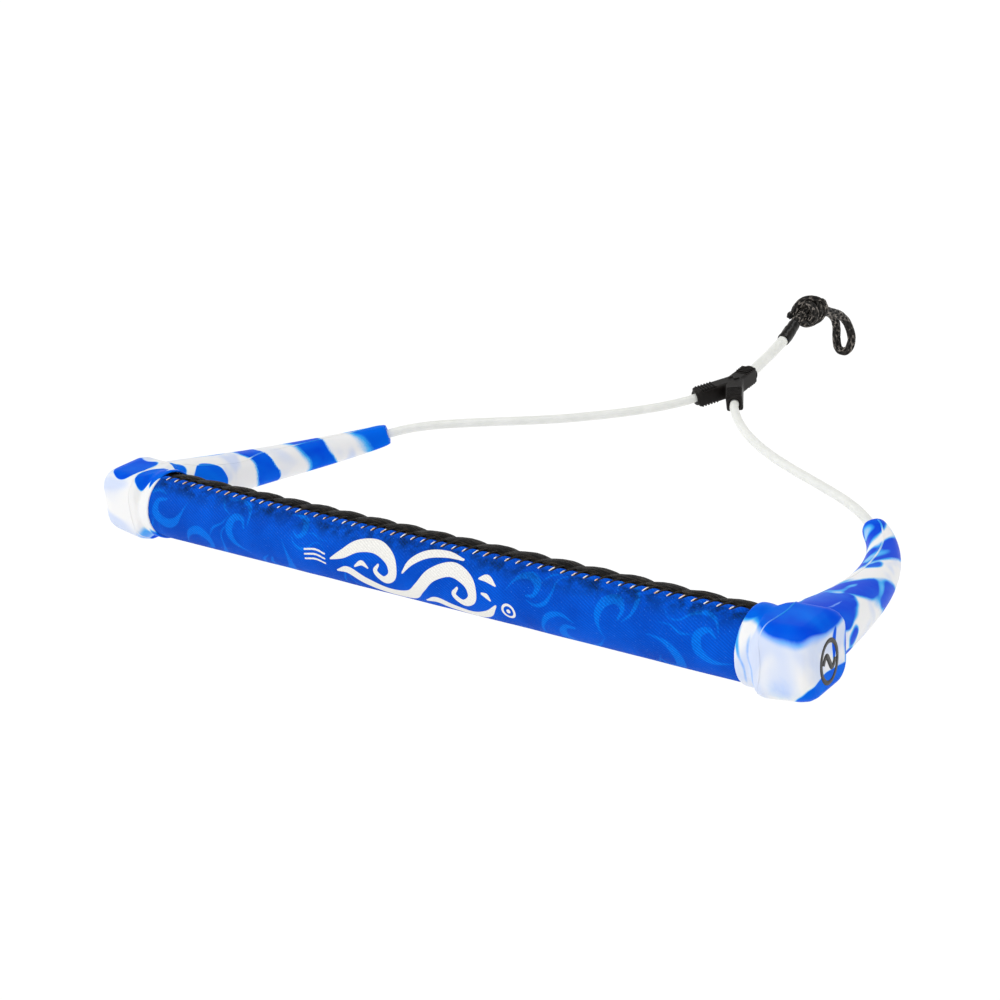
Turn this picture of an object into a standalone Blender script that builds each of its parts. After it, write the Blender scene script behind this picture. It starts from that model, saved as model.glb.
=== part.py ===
"""Tow rope handle for water sports: a padded grip bar, two moulded end caps and a rope bridle.

Metres, +Z up. X runs along the bar and +Y points from the bar to the tow line. The origin is on the
surface that the handle lies on, under the middle of the bar and its caps. The shapes below are drawn
in the bar's own frame, whose origin is on the bar's axis, and are then parented to empties.
"""
import math

import bmesh
import bpy
from mathutils import Matrix, Vector

MM = 0.001

# Where the bar's axis lies above the surface and in front of the origin.
AXIS_HEIGHT = 16.8 * MM
AXIS_BACK = 61.0 * MM

# Clearance that separate solids keep to each other, and how far a cutter passes the face it cuts.
GAP = 0.3 * MM
CUTTER_REACH = 1.0 * MM

# How many sides round parts have.
GRIP_SIDES = 40
POCKET_SIDES = 32
HORN_SIDES = 24
TURNED_SIDES = 24
ROPE_SIDES = 16
HOLE_SIDES = 18
CORNER_STEPS = 6
COVER_STEPS = 36
STRIP_STEPS = 14

# Grip: tube, foam sleeve and fabric cover.
TUBE_RADIUS = 11.1 * MM
TUBE_WALL = 1.6 * MM
TUBE_HALF = 184.0 * MM
FOAM_RADIUS = 14.2 * MM
COVER_RADIUS = 15.25 * MM
COVER_THICKNESS = 0.7 * MM
STRIP_RADIUS = 15.15 * MM
STRIP_THICKNESS = 0.6 * MM
GRIP_HALF = 163.6 * MM
SEAM_RADIUS = 0.5 * MM

# The black strip lies between two seams. Angles run from the bar's front, up over its top.
SEAM_FRONT_DEG = 76.0
SEAM_BACK_DEG = 166.0
SEAM_CLEARANCE_DEG = 3.2

# Parts in the tube.
CORE_HALF = 150.0 * MM
PLUG_START = 151.0 * MM
PLUG_LENGTH = 14.0 * MM
PLUG_GROOVE_TOPS = (11.5 * MM, 7.5 * MM, 3.5 * MM)
PLUG_GROOVE_WIDTH = 1.5 * MM
PLUG_GROOVE_DEPTH = 1.0 * MM
STOP_RADIUS = 3.8 * MM
STOP_LENGTH = 10.5 * MM
STOP_CHAMFER = 1.0 * MM
STOP_WAIST_DEPTH = 0.6 * MM
STOP_WAIST_HALF = 0.4 * MM

# End cap: a round collar, a rounded square block and a curved horn.
CAP_INNER_X = 159.6 * MM
GRIP_POCKET_RADIUS = COVER_RADIUS + GAP
TUBE_POCKET_RADIUS = TUBE_RADIUS + GAP
TUBE_POCKET_END = TUBE_HALF + GAP

# Collar lip, collar, waist, block and rounded outer end, from the grip outwards: distance from the
# cap's inner end, half depth, reach below the axis, reach above it, and corner radius, in millimetres.
BLOCK_SECTIONS = (
    (0.0, 16.1, 16.1, 16.1, 16.1),
    (0.6, 16.6, 16.6, 16.6, 16.6),
    (3.6, 16.6, 16.6, 16.6, 16.6),
    (6.6, 16.1, 16.0, 15.9, 15.6),
    (8.6, 16.8, 16.4, 15.8, 10.5),
    (11.6, 17.0, 16.0, 16.0, 8.5),
    (26.0, 16.4, 14.3, 16.8, 8.5),
    (29.2, 15.7, 13.4, 16.2, 8.0),
    (31.4, 14.2, 11.9, 14.8, 7.0),
    (32.4, 12.4, 10.3, 13.2, 6.2),
)

# The horn's centre line as a cubic curve, on the +X side.
HORN_ROOT = Vector((175.0, 8.9, 0.0)) * MM
HORN_LEAD = Vector((175.8, 28.0, 0.5)) * MM
HORN_BEND = Vector((171.0, 110.0, -16.0)) * MM
HORN_TIP = Vector((139.8, 135.2, -6.9)) * MM

# Horn sections: share of the centre line, half width and half height. A squareness of 1 is an
# ellipse, and less is a rounder square.
HORN_SQUARENESS = 0.9
HORN_SECTIONS = (
    (0.00, 13.4, 14.2),
    (0.10, 13.2, 13.3),
    (0.20, 12.6, 12.0),
    (0.32, 11.4, 10.5),
    (0.46, 10.0, 9.1),
    (0.60, 8.8, 8.1),
    (0.74, 7.7, 7.2),
    (0.86, 6.7, 6.3),
    (0.95, 5.9, 5.7),
    (0.985, 5.5, 5.3),
    (1.00, 4.9, 4.8),
)

# Ropes. A socket or a channel is a little wider than its rope.
LEG_RADIUS = 2.25 * MM
CHANNEL_RADIUS = 2.7 * MM
JACKET_RADIUS = 2.85 * MM
CORE_ROPE_RADIUS = 1.6 * MM
LOOP_RADIUS = 2.2 * MM
KNOT_TAIL_RADIUS = 1.9 * MM
SOCKET_CLEARANCE = 0.45 * MM

# The bridle leg's route from the horn to the bottom of its socket in the yoke, on the +X side.
LEG_ROUTE = (
    (137.2, 137.2, -6.1),
    (129.6, 142.9, -4.6),
    (118.4, 150.1, -3.5),
    (105.2, 157.3, -2.9),
    (91.4, 164.6, -2.5),
    (77.0, 172.6, -2.3),
    (62.4, 181.6, -2.1),
    (48.2, 191.8, -1.7),
    (34.8, 203.5, -1.4),
    (23.4, 215.8, -1.0),
    (14.7, 226.8, -0.2),
    (11.5, 232.4, 0.4),
    (7.8, 238.8, 1.1),
)

# The leader's route from its socket in the yoke to the end of the sleeve.
LEADER_ROUTE = (
    (0.0, 270.8, 4.6),
    (0.0, 279.0, 6.2),
    (0.0, 291.0, 8.7),
    (0.0, 303.0, 11.8),
    (0.0, 309.5, 14.4),
    (0.0, 316.2, 17.6),
)
SLEEVE_START = 302.8 * MM
SLEEVE_RADIUS = 3.5 * MM

# The knot and the loop behind it.
KNOT_CENTRE = (0.0, 332.6, 19.0)
KNOT_HALF_SIZE = (7.8, 9.8, 7.0)
LOOP_ROUTE = (
    (2.4, 343.4, 17.8),
    (2.5, 351.8, 14.2),
    (2.8, 360.6, 10.2),
    (3.4, 367.0, 5.0),
    (4.2, 370.4, -1.2),
    (4.8, 371.2, -7.2),
    (3.4, 370.2, -12.6),
    (0.0, 369.6, -14.5),
)
KNOT_TAIL_ROUTE = ((-8.0, 325.8, 18.9), (-7.2, 322.6, 19.2), (-6.6, 319.4, 18.6))

# Yoke: three square arms from one junction.
JUNCTION = Vector((0.0, 252.2, 2.5)) * MM
ARM_HALF = 4.3 * MM
ARM_LENGTH = 23.0 * MM
ARM_ANGLE_DEG = 30.0
STEM_LENGTH = 15.6 * MM
YOKE_PITCH_DEG = 6.0
SOCKET_DEPTH = 8.0 * MM
YOKE_BEVEL = 1.2 * MM
GROOVE_COUNT = 5
GROOVE_START = 2.6 * MM
GROOVE_PITCH = 1.7 * MM
GROOVE_DEPTH = 0.7 * MM
GROOVE_WIDTH = 0.8 * MM
# How far the leader's root stands out of the stem.
ROOT_SHOWN = 0.6 * MM

# Pivots of the joints, in the bar's frame.
BRIDLE_PIVOT = Vector((0.0, 137.2, -6.1)) * MM
LEADER_PIVOT = Vector((0.0, 270.8, 4.6)) * MM
LOOP_PIVOT = Vector((0.0, 319.2, 18.6)) * MM

COLORS = {
    "aluminium": ((0.62, 0.63, 0.65), 0.35, 1.0),
    "float_foam": ((0.86, 0.84, 0.74), 0.9, 0.0),
    "eva_foam": ((0.03, 0.03, 0.035), 0.85, 0.0),
    "blue_fabric": ((0.0, 0.09, 0.62), 0.75, 0.0),
    "black_strip": ((0.012, 0.012, 0.013), 0.6, 0.0),
    "seam_thread": ((0.02, 0.05, 0.2), 0.5, 0.0),
    "marbled_rubber": ((0.02, 0.2, 0.85), 0.3, 0.0),
    "coated_rope": ((0.78, 0.79, 0.75), 0.45, 0.0),
    "black_plastic": ((0.02, 0.018, 0.016), 0.4, 0.0),
    "black_rope": ((0.025, 0.023, 0.02), 0.45, 0.0),
    "grey_plastic": ((0.2, 0.2, 0.21), 0.5, 0.0),
    "core_rope": ((0.5, 0.5, 0.47), 0.7, 0.0),
}


def clear_scene():
    for thing in list(bpy.data.objects):
        bpy.data.objects.remove(thing, do_unlink=True)


def new_collection(name):
    collection = bpy.data.collections.new(name)
    bpy.context.scene.collection.children.link(collection)
    return collection


def make_materials():
    made = {}
    for name, (color, roughness, metallic) in COLORS.items():
        material = bpy.data.materials.new(name)
        material.use_nodes = True
        shader = material.node_tree.nodes["Principled BSDF"]
        shader.inputs["Base Color"].default_value = (*color, 1.0)
        shader.inputs["Roughness"].default_value = roughness
        shader.inputs["Metallic"].default_value = metallic
        made[name] = material
    return made


def add_empty(name, point, parent=None):
    """An empty at a point of the bar's frame; the bar's own empty holds the world position."""
    empty = bpy.data.objects.new(name, None)
    PARTS.objects.link(empty)
    empty.parent = parent
    if parent is None:
        empty.location = (0.0, -AXIS_BACK, AXIS_HEIGHT)
    else:
        empty.location = point - PIVOTS[parent.name]
    PIVOTS[name] = point
    return empty


def place(thing, material, frame):
    """Gives a part its material and hangs it, drawn in the bar's frame, on an empty."""
    thing.data.materials.append(MATERIALS[material])
    thing.parent = frame
    thing.location = -PIVOTS[frame.name]
    return thing


def mesh_object(name, bm, collection=None):
    mesh = bpy.data.meshes.new(name)
    bmesh.ops.recalc_face_normals(bm, faces=bm.faces)
    bm.to_mesh(mesh)
    bm.free()
    mesh.shade_smooth()
    mesh.set_sharp_from_angle(angle=math.radians(40.0))
    thing = bpy.data.objects.new(name, mesh)
    (collection or PARTS).objects.link(thing)
    return thing


def cutter_object(name, bm):
    thing = mesh_object(name, bm, CUTTERS)
    thing.hide_render = True
    thing.display_type = "WIRE"
    return thing


def boolean(thing, operation, other):
    modifier = thing.modifiers.new(operation.lower(), "BOOLEAN")
    modifier.operation = operation
    modifier.solver = "EXACT"
    modifier.object = other


def add_cylinder(bm, radius, start, end, segments, caps=True):
    """A cylinder between two points."""
    axis = end - start
    turn = axis.to_track_quat("Z", "Y").to_matrix().to_4x4()
    matrix = Matrix.Translation((start + end) / 2) @ turn
    bmesh.ops.create_cone(
        bm, cap_ends=caps, segments=segments, radius1=radius, radius2=radius,
        depth=axis.length, matrix=matrix,
    )


def cylinder_along_x(bm, radius, x_start, x_end, segments, caps=True):
    start = Vector((x_start, 0.0, 0.0))
    end = Vector((x_end, 0.0, 0.0))
    add_cylinder(bm, radius, start, end, segments, caps)


def solidify(thing, thickness):
    modifier = thing.modifiers.new("wall", "SOLIDIFY")
    modifier.thickness = thickness
    modifier.offset = -1.0
    modifier.use_even_offset = True


def smooth_route(points, spacing):
    """Points at an even spacing along a Catmull-Rom curve through the route's own points."""
    knots = [Vector(p) * MM for p in points]
    padded = [2 * knots[0] - knots[1], *knots, 2 * knots[-1] - knots[-2]]
    fine = []
    for a, b, c, d in zip(padded, padded[1:], padded[2:], padded[3:]):
        for step in range(12):
            t = step / 12
            fine.append(0.5 * (2 * b + (c - a) * t + (2 * a - 5 * b + 4 * c - d) * t ** 2
                               + (3 * b - a - 3 * c + d) * t ** 3))
    fine.append(knots[-1])
    return resample(fine, spacing)


def resample(points, spacing):
    """The same line with its points at an even spacing and both ends kept."""
    lengths = [0.0]
    for a, b in zip(points, points[1:]):
        lengths.append(lengths[-1] + (b - a).length)
    count = max(2, round(lengths[-1] / spacing))
    out = []
    index = 0
    for step in range(count + 1):
        target = lengths[-1] * step / count
        while index < len(points) - 2 and lengths[index + 1] < target:
            index += 1
        span = lengths[index + 1] - lengths[index]
        share = (target - lengths[index]) / span if span else 0.0
        out.append(points[index].lerp(points[index + 1], min(1.0, share)))
    return out


def mirror_x(points, side):
    return [Vector((p.x * side, p.y, p.z)) for p in points]


def tube(name, points, radius, scales=None, resolution=2, collection=None):
    """A solid tube along a line of points; scales sets each point's share of the radius."""
    curve = bpy.data.curves.new(name, "CURVE")
    curve.dimensions = "3D"
    curve.bevel_depth = radius
    curve.bevel_resolution = resolution
    curve.use_fill_caps = True
    spline = curve.splines.new("POLY")
    spline.points.add(len(points) - 1)
    for index, point in enumerate(points):
        spline.points[index].co = (*point, 1.0)
        spline.points[index].radius = scales[index] if scales else 1.0
    thing = bpy.data.objects.new(name, curve)
    (collection or PARTS).objects.link(thing)
    return thing


def curve_to_mesh(thing):
    """The curve's evaluated mesh as a new object, with its loose caps welded."""
    bpy.context.view_layer.update()
    evaluated = thing.evaluated_get(bpy.context.evaluated_depsgraph_get())
    mesh = bpy.data.meshes.new_from_object(evaluated)
    bm = bmesh.new()
    bm.from_mesh(mesh)
    bmesh.ops.remove_doubles(bm, verts=bm.verts, dist=0.001 * MM)
    bmesh.ops.recalc_face_normals(bm, faces=bm.faces)
    bm.to_mesh(mesh)
    bm.free()
    made = bpy.data.objects.new(thing.name, mesh)
    for collection in thing.users_collection:
        collection.objects.link(made)
    made.matrix_world = thing.matrix_world
    bpy.data.objects.remove(thing, do_unlink=True)
    return made


def with_round_start(points, radius):
    """Adds a half-ball before the first point, so that the rope's end can turn about that point."""
    back = (points[0] - points[1]).normalized()
    dome = []
    scales = []
    for degrees in (84, 60, 30):
        angle = math.radians(degrees)
        dome.append(points[0] + back * radius * math.sin(angle))
        scales.append(math.cos(angle))
    return dome + points, scales + [1.0] * len(points)


def hollow_tube(name, points, outer, inner, sides=ROPE_SIDES):
    """A sleeve along a line: an outer and an inner skin of rings, joined at both ends."""
    bm = bmesh.new()
    skins = []
    for radius in (outer, inner):
        skin = []
        for point, across, up in frames_along(points):
            ring = []
            for step in range(sides):
                angle = 2 * math.pi * step / sides
                ring.append(bm.verts.new(point + radius * (across * math.cos(angle) + up * math.sin(angle))))
            skin.append(ring)
        bridge(bm, skin)
        skins.append(skin)
    outside, inside = skins
    bridge(bm, [outside[0], inside[0]])
    bridge(bm, [outside[-1], inside[-1]])
    return mesh_object(name, bm)


def frames_along(points):
    """Each point of a line with a level direction across it and one that is square to both."""
    out = []
    for index, point in enumerate(points):
        before = points[max(index - 1, 0)]
        after = points[min(index + 1, len(points) - 1)]
        along = (after - before).normalized()
        across = along.cross(Vector((0.0, 0.0, 1.0))).normalized()
        out.append((point, across, across.cross(along)))
    return out


def bridge(bm, rings):
    for first, second in zip(rings, rings[1:]):
        count = len(first)
        for index in range(count):
            following = (index + 1) % count
            bm.faces.new((first[index], first[following], second[following], second[index]))


def loft(bm, rings):
    """A closed body through rings of points that all have the same count."""
    made = [[bm.verts.new(p) for p in ring] for ring in rings]
    bridge(bm, made)
    bm.faces.new(made[0])
    bm.faces.new(list(reversed(made[-1])))


def turned(name, profile, segments=TURNED_SIDES):
    """A turned part about Z from (radius, height) points that run from top to bottom."""
    mesh = bpy.data.meshes.new(name)
    bm = bmesh.new()
    row = [bm.verts.new((r, 0.0, z)) for r, z in profile]
    for a, b in zip(row, row[1:]):
        bm.edges.new((a, b))
    bm.to_mesh(mesh)
    bm.free()
    thing = bpy.data.objects.new(name, mesh)
    PARTS.objects.link(thing)
    screw = thing.modifiers.new("turn", "SCREW")
    screw.axis = "Z"
    screw.steps = segments
    screw.render_steps = segments
    screw.use_merge_vertices = True
    screw.merge_threshold = 0.00001
    screw.use_smooth_shade = True
    return thing


def hang_turned(thing, material, frame, point, rotation):
    """Places a turned part with its own rotation at a point of the bar's frame."""
    place(thing, material, frame)
    thing.location = point - PIVOTS[frame.name]
    thing.rotation_euler = rotation


# ---------------------------------------------------------------- grip

def make_bar_tube(frame):
    bm = bmesh.new()
    cylinder_along_x(bm, TUBE_RADIUS, -TUBE_HALF, TUBE_HALF, GRIP_SIDES, caps=False)
    bar = mesh_object("bar_tube", bm)
    solidify(bar, TUBE_WALL)
    for side in (-1, 1):
        bm = bmesh.new()
        inside = Vector((HORN_ROOT.x * side, CUTTER_REACH, 0.0))
        outside = Vector((HORN_ROOT.x * side, 2 * TUBE_RADIUS, 0.0))
        add_cylinder(bm, CHANNEL_RADIUS, inside, outside, HOLE_SIDES)
        hole = cutter_object(f"rope_hole_cutter_{side}", bm)
        hole.parent = frame
        boolean(bar, "DIFFERENCE", hole)
    place(bar, "aluminium", frame)


def make_float_core(frame):
    bm = bmesh.new()
    cylinder_along_x(bm, TUBE_RADIUS - TUBE_WALL - GAP, -CORE_HALF, CORE_HALF, POCKET_SIDES)
    place(mesh_object("float_core", bm), "float_foam", frame)


def make_end_plug(frame, side, name):
    """A ribbed plug that seals the float core in the tube."""
    body = TUBE_RADIUS - TUBE_WALL - GAP
    groove = body - PLUG_GROOVE_DEPTH
    profile = [(0.0, PLUG_LENGTH), (body, PLUG_LENGTH)]
    for top in PLUG_GROOVE_TOPS:
        bottom = top - PLUG_GROOVE_WIDTH
        profile += [(body, top), (groove, top), (groove, bottom), (body, bottom)]
    profile += [(body, 0.0), (0.0, 0.0)]
    plug = turned(name, profile)
    point = Vector((PLUG_START * side, 0.0, 0.0))
    hang_turned(plug, "grey_plastic", frame, point, (0.0, math.radians(90.0) * side, 0.0))


def make_grip_foam(frame):
    bm = bmesh.new()
    cylinder_along_x(bm, FOAM_RADIUS, -GRIP_HALF, GRIP_HALF, GRIP_SIDES, caps=False)
    foam = mesh_object("grip_foam", bm)
    solidify(foam, FOAM_RADIUS - TUBE_RADIUS - GAP)
    place(foam, "eva_foam", frame)


def bar_point(x, radius, degrees):
    """A point around the bar; the angle runs from the front up over the top."""
    angle = math.radians(degrees)
    return Vector((x, -radius * math.cos(angle), radius * math.sin(angle)))


def make_wrap(name, material, frame, radius, thickness, start_deg, end_deg, steps):
    """A part of the grip's skin: an open sheet around the bar with a thickness."""
    bm = bmesh.new()
    rows = []
    for x in (-GRIP_HALF, GRIP_HALF):
        row = []
        for step in range(steps + 1):
            degrees = start_deg + (end_deg - start_deg) * step / steps
            row.append(bm.verts.new(bar_point(x, radius, degrees)))
        rows.append(row)
    for step in range(steps):
        bm.faces.new((rows[0][step], rows[1][step], rows[1][step + 1], rows[0][step + 1]))
    mesh = bpy.data.meshes.new(name)
    bm.normal_update()
    if bm.faces[:][0].normal.dot(rows[0][0].co) < 0:
        bmesh.ops.reverse_faces(bm, faces=bm.faces)
    bm.to_mesh(mesh)
    bm.free()
    mesh.shade_smooth()
    skin = bpy.data.objects.new(name, mesh)
    PARTS.objects.link(skin)
    solidify(skin, thickness)
    place(skin, material, frame)


def make_seam(frame, name, degrees):
    radius = FOAM_RADIUS + GAP + SEAM_RADIUS
    count = 8
    points = [bar_point(-GRIP_HALF + 2 * GRIP_HALF * i / count, radius, degrees) for i in range(count + 1)]
    place(tube(name, points, SEAM_RADIUS, resolution=2), "seam_thread", frame)


# ---------------------------------------------------------------- end caps

def horn_point(share):
    """A point on the +X horn's centre line."""
    rest = 1.0 - share
    return (rest ** 3 * HORN_ROOT + 3 * rest ** 2 * share * HORN_LEAD
            + 3 * rest * share ** 2 * HORN_BEND + share ** 3 * HORN_TIP)


def rounded_square(x, half, below, above, corner, per_corner=CORNER_STEPS):
    """A section of the block, square to X, with round corners."""
    ring = []
    corners = ((1, above, 0), (-1, above, 90), (-1, -below, 180), (1, -below, 270))
    for sign_y, reach, start in corners:
        sign_z = math.copysign(1.0, reach)
        for step in range(per_corner + 1):
            angle = math.radians(start + 90 * step / per_corner)
            y = sign_y * (half - corner) + corner * math.cos(angle)
            z = reach - sign_z * corner + corner * math.sin(angle)
            ring.append(Vector((x, y * MM, z * MM)))
    return ring


def block_rings():
    rings = []
    for distance, half, below, above, corner in BLOCK_SECTIONS:
        rings.append(rounded_square(CAP_INNER_X + distance * MM, half, below, above, corner))
    return rings


def squared(value):
    """A sine or cosine pushed out a little, which makes an ellipse squarer."""
    return math.copysign(abs(value) ** HORN_SQUARENESS, value)


def horn_rings(sides=HORN_SIDES):
    """Rings around the horn's centre line; the first one lies inside the block."""
    rings = []
    for share, width, height in HORN_SECTIONS:
        point = horn_point(share)
        ahead = horn_point(min(share + 0.01, 1.0))
        behind = horn_point(max(share - 0.01, 0.0))
        along = (ahead - behind).normalized()
        across = along.cross(Vector((0.0, 0.0, 1.0))).normalized()
        up = across.cross(along)
        ring = []
        for step in range(sides):
            angle = 2 * math.pi * step / sides
            side_way = squared(math.cos(angle)) * width * MM
            up_way = squared(math.sin(angle)) * height * MM
            ring.append(point + across * side_way + up * up_way)
        rings.append(ring)
    return rings


def rope_line():
    """The rope's line in the +X cap, from inside the tube to just outside the horn's tip."""
    line = [Vector((HORN_ROOT.x, STOP_LENGTH / 2 + GAP, 0.0)), HORN_ROOT]
    line += [horn_point(step / 24) for step in range(1, 25)]
    return resample(line, 6.0 * MM)


def make_end_cap(frame, side, name):
    """Collar, block and horn as one moulding, with pockets for the grip, the tube and the rope."""
    bm = bmesh.new()
    loft(bm, [mirror_x(ring, side) for ring in block_rings()])
    cap = mesh_object(name, bm)
    bm = bmesh.new()
    loft(bm, [mirror_x(ring, side) for ring in horn_rings()])
    horn = cutter_object(f"{name}_horn", bm)
    bm = bmesh.new()
    open_end = (CAP_INNER_X - CUTTER_REACH) * side
    pocket_end = (GRIP_HALF + GAP) * side
    cylinder_along_x(bm, GRIP_POCKET_RADIUS, open_end, pocket_end, POCKET_SIDES)
    grip_pocket = cutter_object(f"{name}_grip_pocket", bm)
    bm = bmesh.new()
    tube_start = (GRIP_HALF - CUTTER_REACH) * side
    cylinder_along_x(bm, TUBE_POCKET_RADIUS, tube_start, TUBE_POCKET_END * side, POCKET_SIDES)
    tube_pocket = cutter_object(f"{name}_tube_pocket", bm)
    line = mirror_x(rope_line(), side)
    reach = (line[-1] - line[-2]).normalized() * 4 * CUTTER_REACH
    channel = tube(f"{name}_rope_channel", line + [line[-1] + reach], CHANNEL_RADIUS, resolution=3,
                   collection=CUTTERS)
    channel = curve_to_mesh(channel)
    channel.hide_render = True
    channel.display_type = "WIRE"
    boolean(cap, "UNION", horn)
    for pocket in (grip_pocket, tube_pocket, channel):
        boolean(cap, "DIFFERENCE", pocket)
    for helper in (horn, grip_pocket, tube_pocket, channel):
        helper.parent = frame
    place(cap, "marbled_rubber", frame)


def make_rope_root(frame, side, name):
    """The rope inside the cap, flush with the horn's tip."""
    place(tube(name, mirror_x(rope_line(), side), LEG_RADIUS), "coated_rope", frame)


def make_rope_stop(frame, side, name):
    """A stopper on the rope's end, which bears on the tube's inner wall."""
    half = STOP_LENGTH / 2
    neck = STOP_RADIUS - STOP_CHAMFER
    waist = STOP_RADIUS - STOP_WAIST_DEPTH
    edge = STOP_WAIST_HALF + STOP_WAIST_DEPTH
    profile = [(0.0, half), (neck, half), (STOP_RADIUS, half - STOP_CHAMFER), (STOP_RADIUS, edge)]
    profile += [(waist, STOP_WAIST_HALF), (waist, -STOP_WAIST_HALF), (STOP_RADIUS, -edge)]
    profile += [(STOP_RADIUS, STOP_CHAMFER - half), (neck, -half), (0.0, -half)]
    stop = turned(name, profile)
    point = Vector((HORN_ROOT.x * side, 0.0, 0.0))
    hang_turned(stop, "aluminium", frame, point, (math.radians(-90.0), 0.0, 0.0))


# ---------------------------------------------------------------- bridle

def arm_direction(side):
    angle = math.radians(ARM_ANGLE_DEG)
    return Vector((math.sin(angle) * side, -math.cos(angle), 0.0))


def yoke_matrix():
    return Matrix.Translation(JUNCTION) @ Matrix.Rotation(math.radians(YOKE_PITCH_DEG), 4, "X")


def yoke_outline(arms):
    """Corners of the Y seen from above: each arm's mouth, and the corner between it and the next arm."""
    outline = []
    for index, (_, direction, length, _) in enumerate(arms):
        following = arms[(index + 1) % len(arms)][1]
        left = Vector((-direction.y, direction.x, 0.0))
        outline.append(direction * length - left * ARM_HALF)
        outline.append(direction * length + left * ARM_HALF)
        bisector = direction + following
        if bisector.dot(left) < 0:
            bisector.negate()
        bisector.normalize()
        half_angle = direction.angle(following) / 2
        outline.append(bisector * ARM_HALF / math.sin(half_angle))
    return outline


def groove_boxes(bm, direction, length):
    """Boxes that leave ribs across an arm's top and underside."""
    turn = direction.to_track_quat("Y", "Z").to_matrix().to_4x4()
    size = Matrix.Diagonal((2 * ARM_HALF + CUTTER_REACH, GROOVE_WIDTH, 2 * GROOVE_DEPTH, 1.0))
    for index in range(GROOVE_COUNT):
        along = length - GROOVE_START - index * GROOVE_PITCH
        for side in (-1, 1):
            spot = Matrix.Translation((0.0, along, side * ARM_HALF))
            bmesh.ops.create_cube(bm, size=1.0, matrix=turn @ spot @ size)


def make_yoke(frame):
    """A Y with three rope sockets, and moulded ribs across the arms' tops and undersides."""
    arms = (
        ("stem", Vector((0.0, 1.0, 0.0)), STEM_LENGTH, JACKET_RADIUS),
        ("arm_left", arm_direction(-1), ARM_LENGTH, LEG_RADIUS),
        ("arm_right", arm_direction(1), ARM_LENGTH, LEG_RADIUS),
    )
    matrix = yoke_matrix()
    bm = bmesh.new()
    base = [bm.verts.new(p - Vector((0.0, 0.0, ARM_HALF))) for p in yoke_outline(arms)]
    made = bmesh.ops.extrude_face_region(bm, geom=[bm.faces.new(base)])
    lifted = [v for v in made["geom"] if isinstance(v, bmesh.types.BMVert)]
    bmesh.ops.translate(bm, verts=lifted, vec=(0.0, 0.0, 2 * ARM_HALF))
    bmesh.ops.bevel(bm, geom=bm.edges[:], offset=YOKE_BEVEL, segments=2, affect="EDGES", profile=0.6)
    bm.transform(matrix)
    yoke = mesh_object("yoke_body", bm)
    for name, direction, length, rope in arms:
        bm = bmesh.new()
        mouth = direction * (length + CUTTER_REACH)
        bottom = direction * (length - SOCKET_DEPTH)
        add_cylinder(bm, rope + SOCKET_CLEARANCE, bottom, mouth, ROPE_SIDES)
        bm.transform(matrix)
        cut_from(yoke, f"yoke_{name}_socket", bm, frame)
    for name, direction, length, _ in arms:
        bm = bmesh.new()
        groove_boxes(bm, direction, length)
        bm.transform(matrix)
        cut_from(yoke, f"yoke_{name}_grooves", bm, frame)
    place(yoke, "black_plastic", frame)


def cut_from(thing, name, bm, frame):
    cutter = cutter_object(name, bm)
    cutter.parent = frame
    cutter.location = -PIVOTS[frame.name]
    boolean(thing, "DIFFERENCE", cutter)


def make_leg(frame, side, name):
    line = mirror_x(smooth_route(LEG_ROUTE, 5.0 * MM), side)
    points, scales = with_round_start(line, LEG_RADIUS)
    place(tube(name, points, LEG_RADIUS, scales), "coated_rope", frame)


def make_leader_root(frame):
    """The leader's stretch in the stem's socket, which ends just outside the mouth."""
    matrix = yoke_matrix()
    bottom = matrix @ Vector((0.0, STEM_LENGTH - SOCKET_DEPTH + GAP, 0.0))
    end = matrix @ Vector((0.0, STEM_LENGTH + ROOT_SHOWN, 0.0))
    bm = bmesh.new()
    add_cylinder(bm, JACKET_RADIUS, bottom, end, ROPE_SIDES)
    place(mesh_object("leader_root", bm), "coated_rope", frame)


def leader_line(spacing):
    return smooth_route(LEADER_ROUTE, spacing)


def make_leader(frame):
    """Sheath around its core, which runs on to the knot's side of the sleeve."""
    line = leader_line(4.0 * MM)
    sheath_end = len(line) - 3
    jacket = line[:sheath_end + 1]
    inner = CORE_ROPE_RADIUS + GAP
    place(hollow_tube("leader_jacket", jacket, JACKET_RADIUS, inner), "coated_rope", frame)
    place(tube("leader_core", line, CORE_ROPE_RADIUS), "core_rope", frame)


def make_sleeve(frame):
    line = [p for p in leader_line(2.0 * MM) if p.y > SLEEVE_START]
    place(hollow_tube("shrink_sleeve", line, SLEEVE_RADIUS, JACKET_RADIUS + GAP), "black_plastic", frame)


def make_knot(frame):
    bm = bmesh.new()
    size = Matrix.Diagonal((*(Vector(KNOT_HALF_SIZE) * MM), 1.0))
    turn = Matrix.Rotation(math.radians(90.0), 4, "X")
    spot = Matrix.Translation(Vector(KNOT_CENTRE) * MM)
    bmesh.ops.create_uvsphere(bm, u_segments=18, v_segments=12, radius=1.0, matrix=spot @ size @ turn)
    place(mesh_object("tow_knot", bm), "black_rope", frame)
    tail = [Vector(p) * MM for p in KNOT_TAIL_ROUTE]
    place(tube("knot_tail", tail, KNOT_TAIL_RADIUS), "black_rope", frame)


def make_loop(frame):
    """One rope: out from the knot, round the bight on the surface, and back beside itself."""
    other = [(-x, y, z) for x, y, z in reversed(LOOP_ROUTE[:-1])]
    line = smooth_route(list(LOOP_ROUTE) + other, 4.2 * MM)
    place(tube("tow_loop", line, LOOP_RADIUS), "black_rope", frame)


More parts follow.
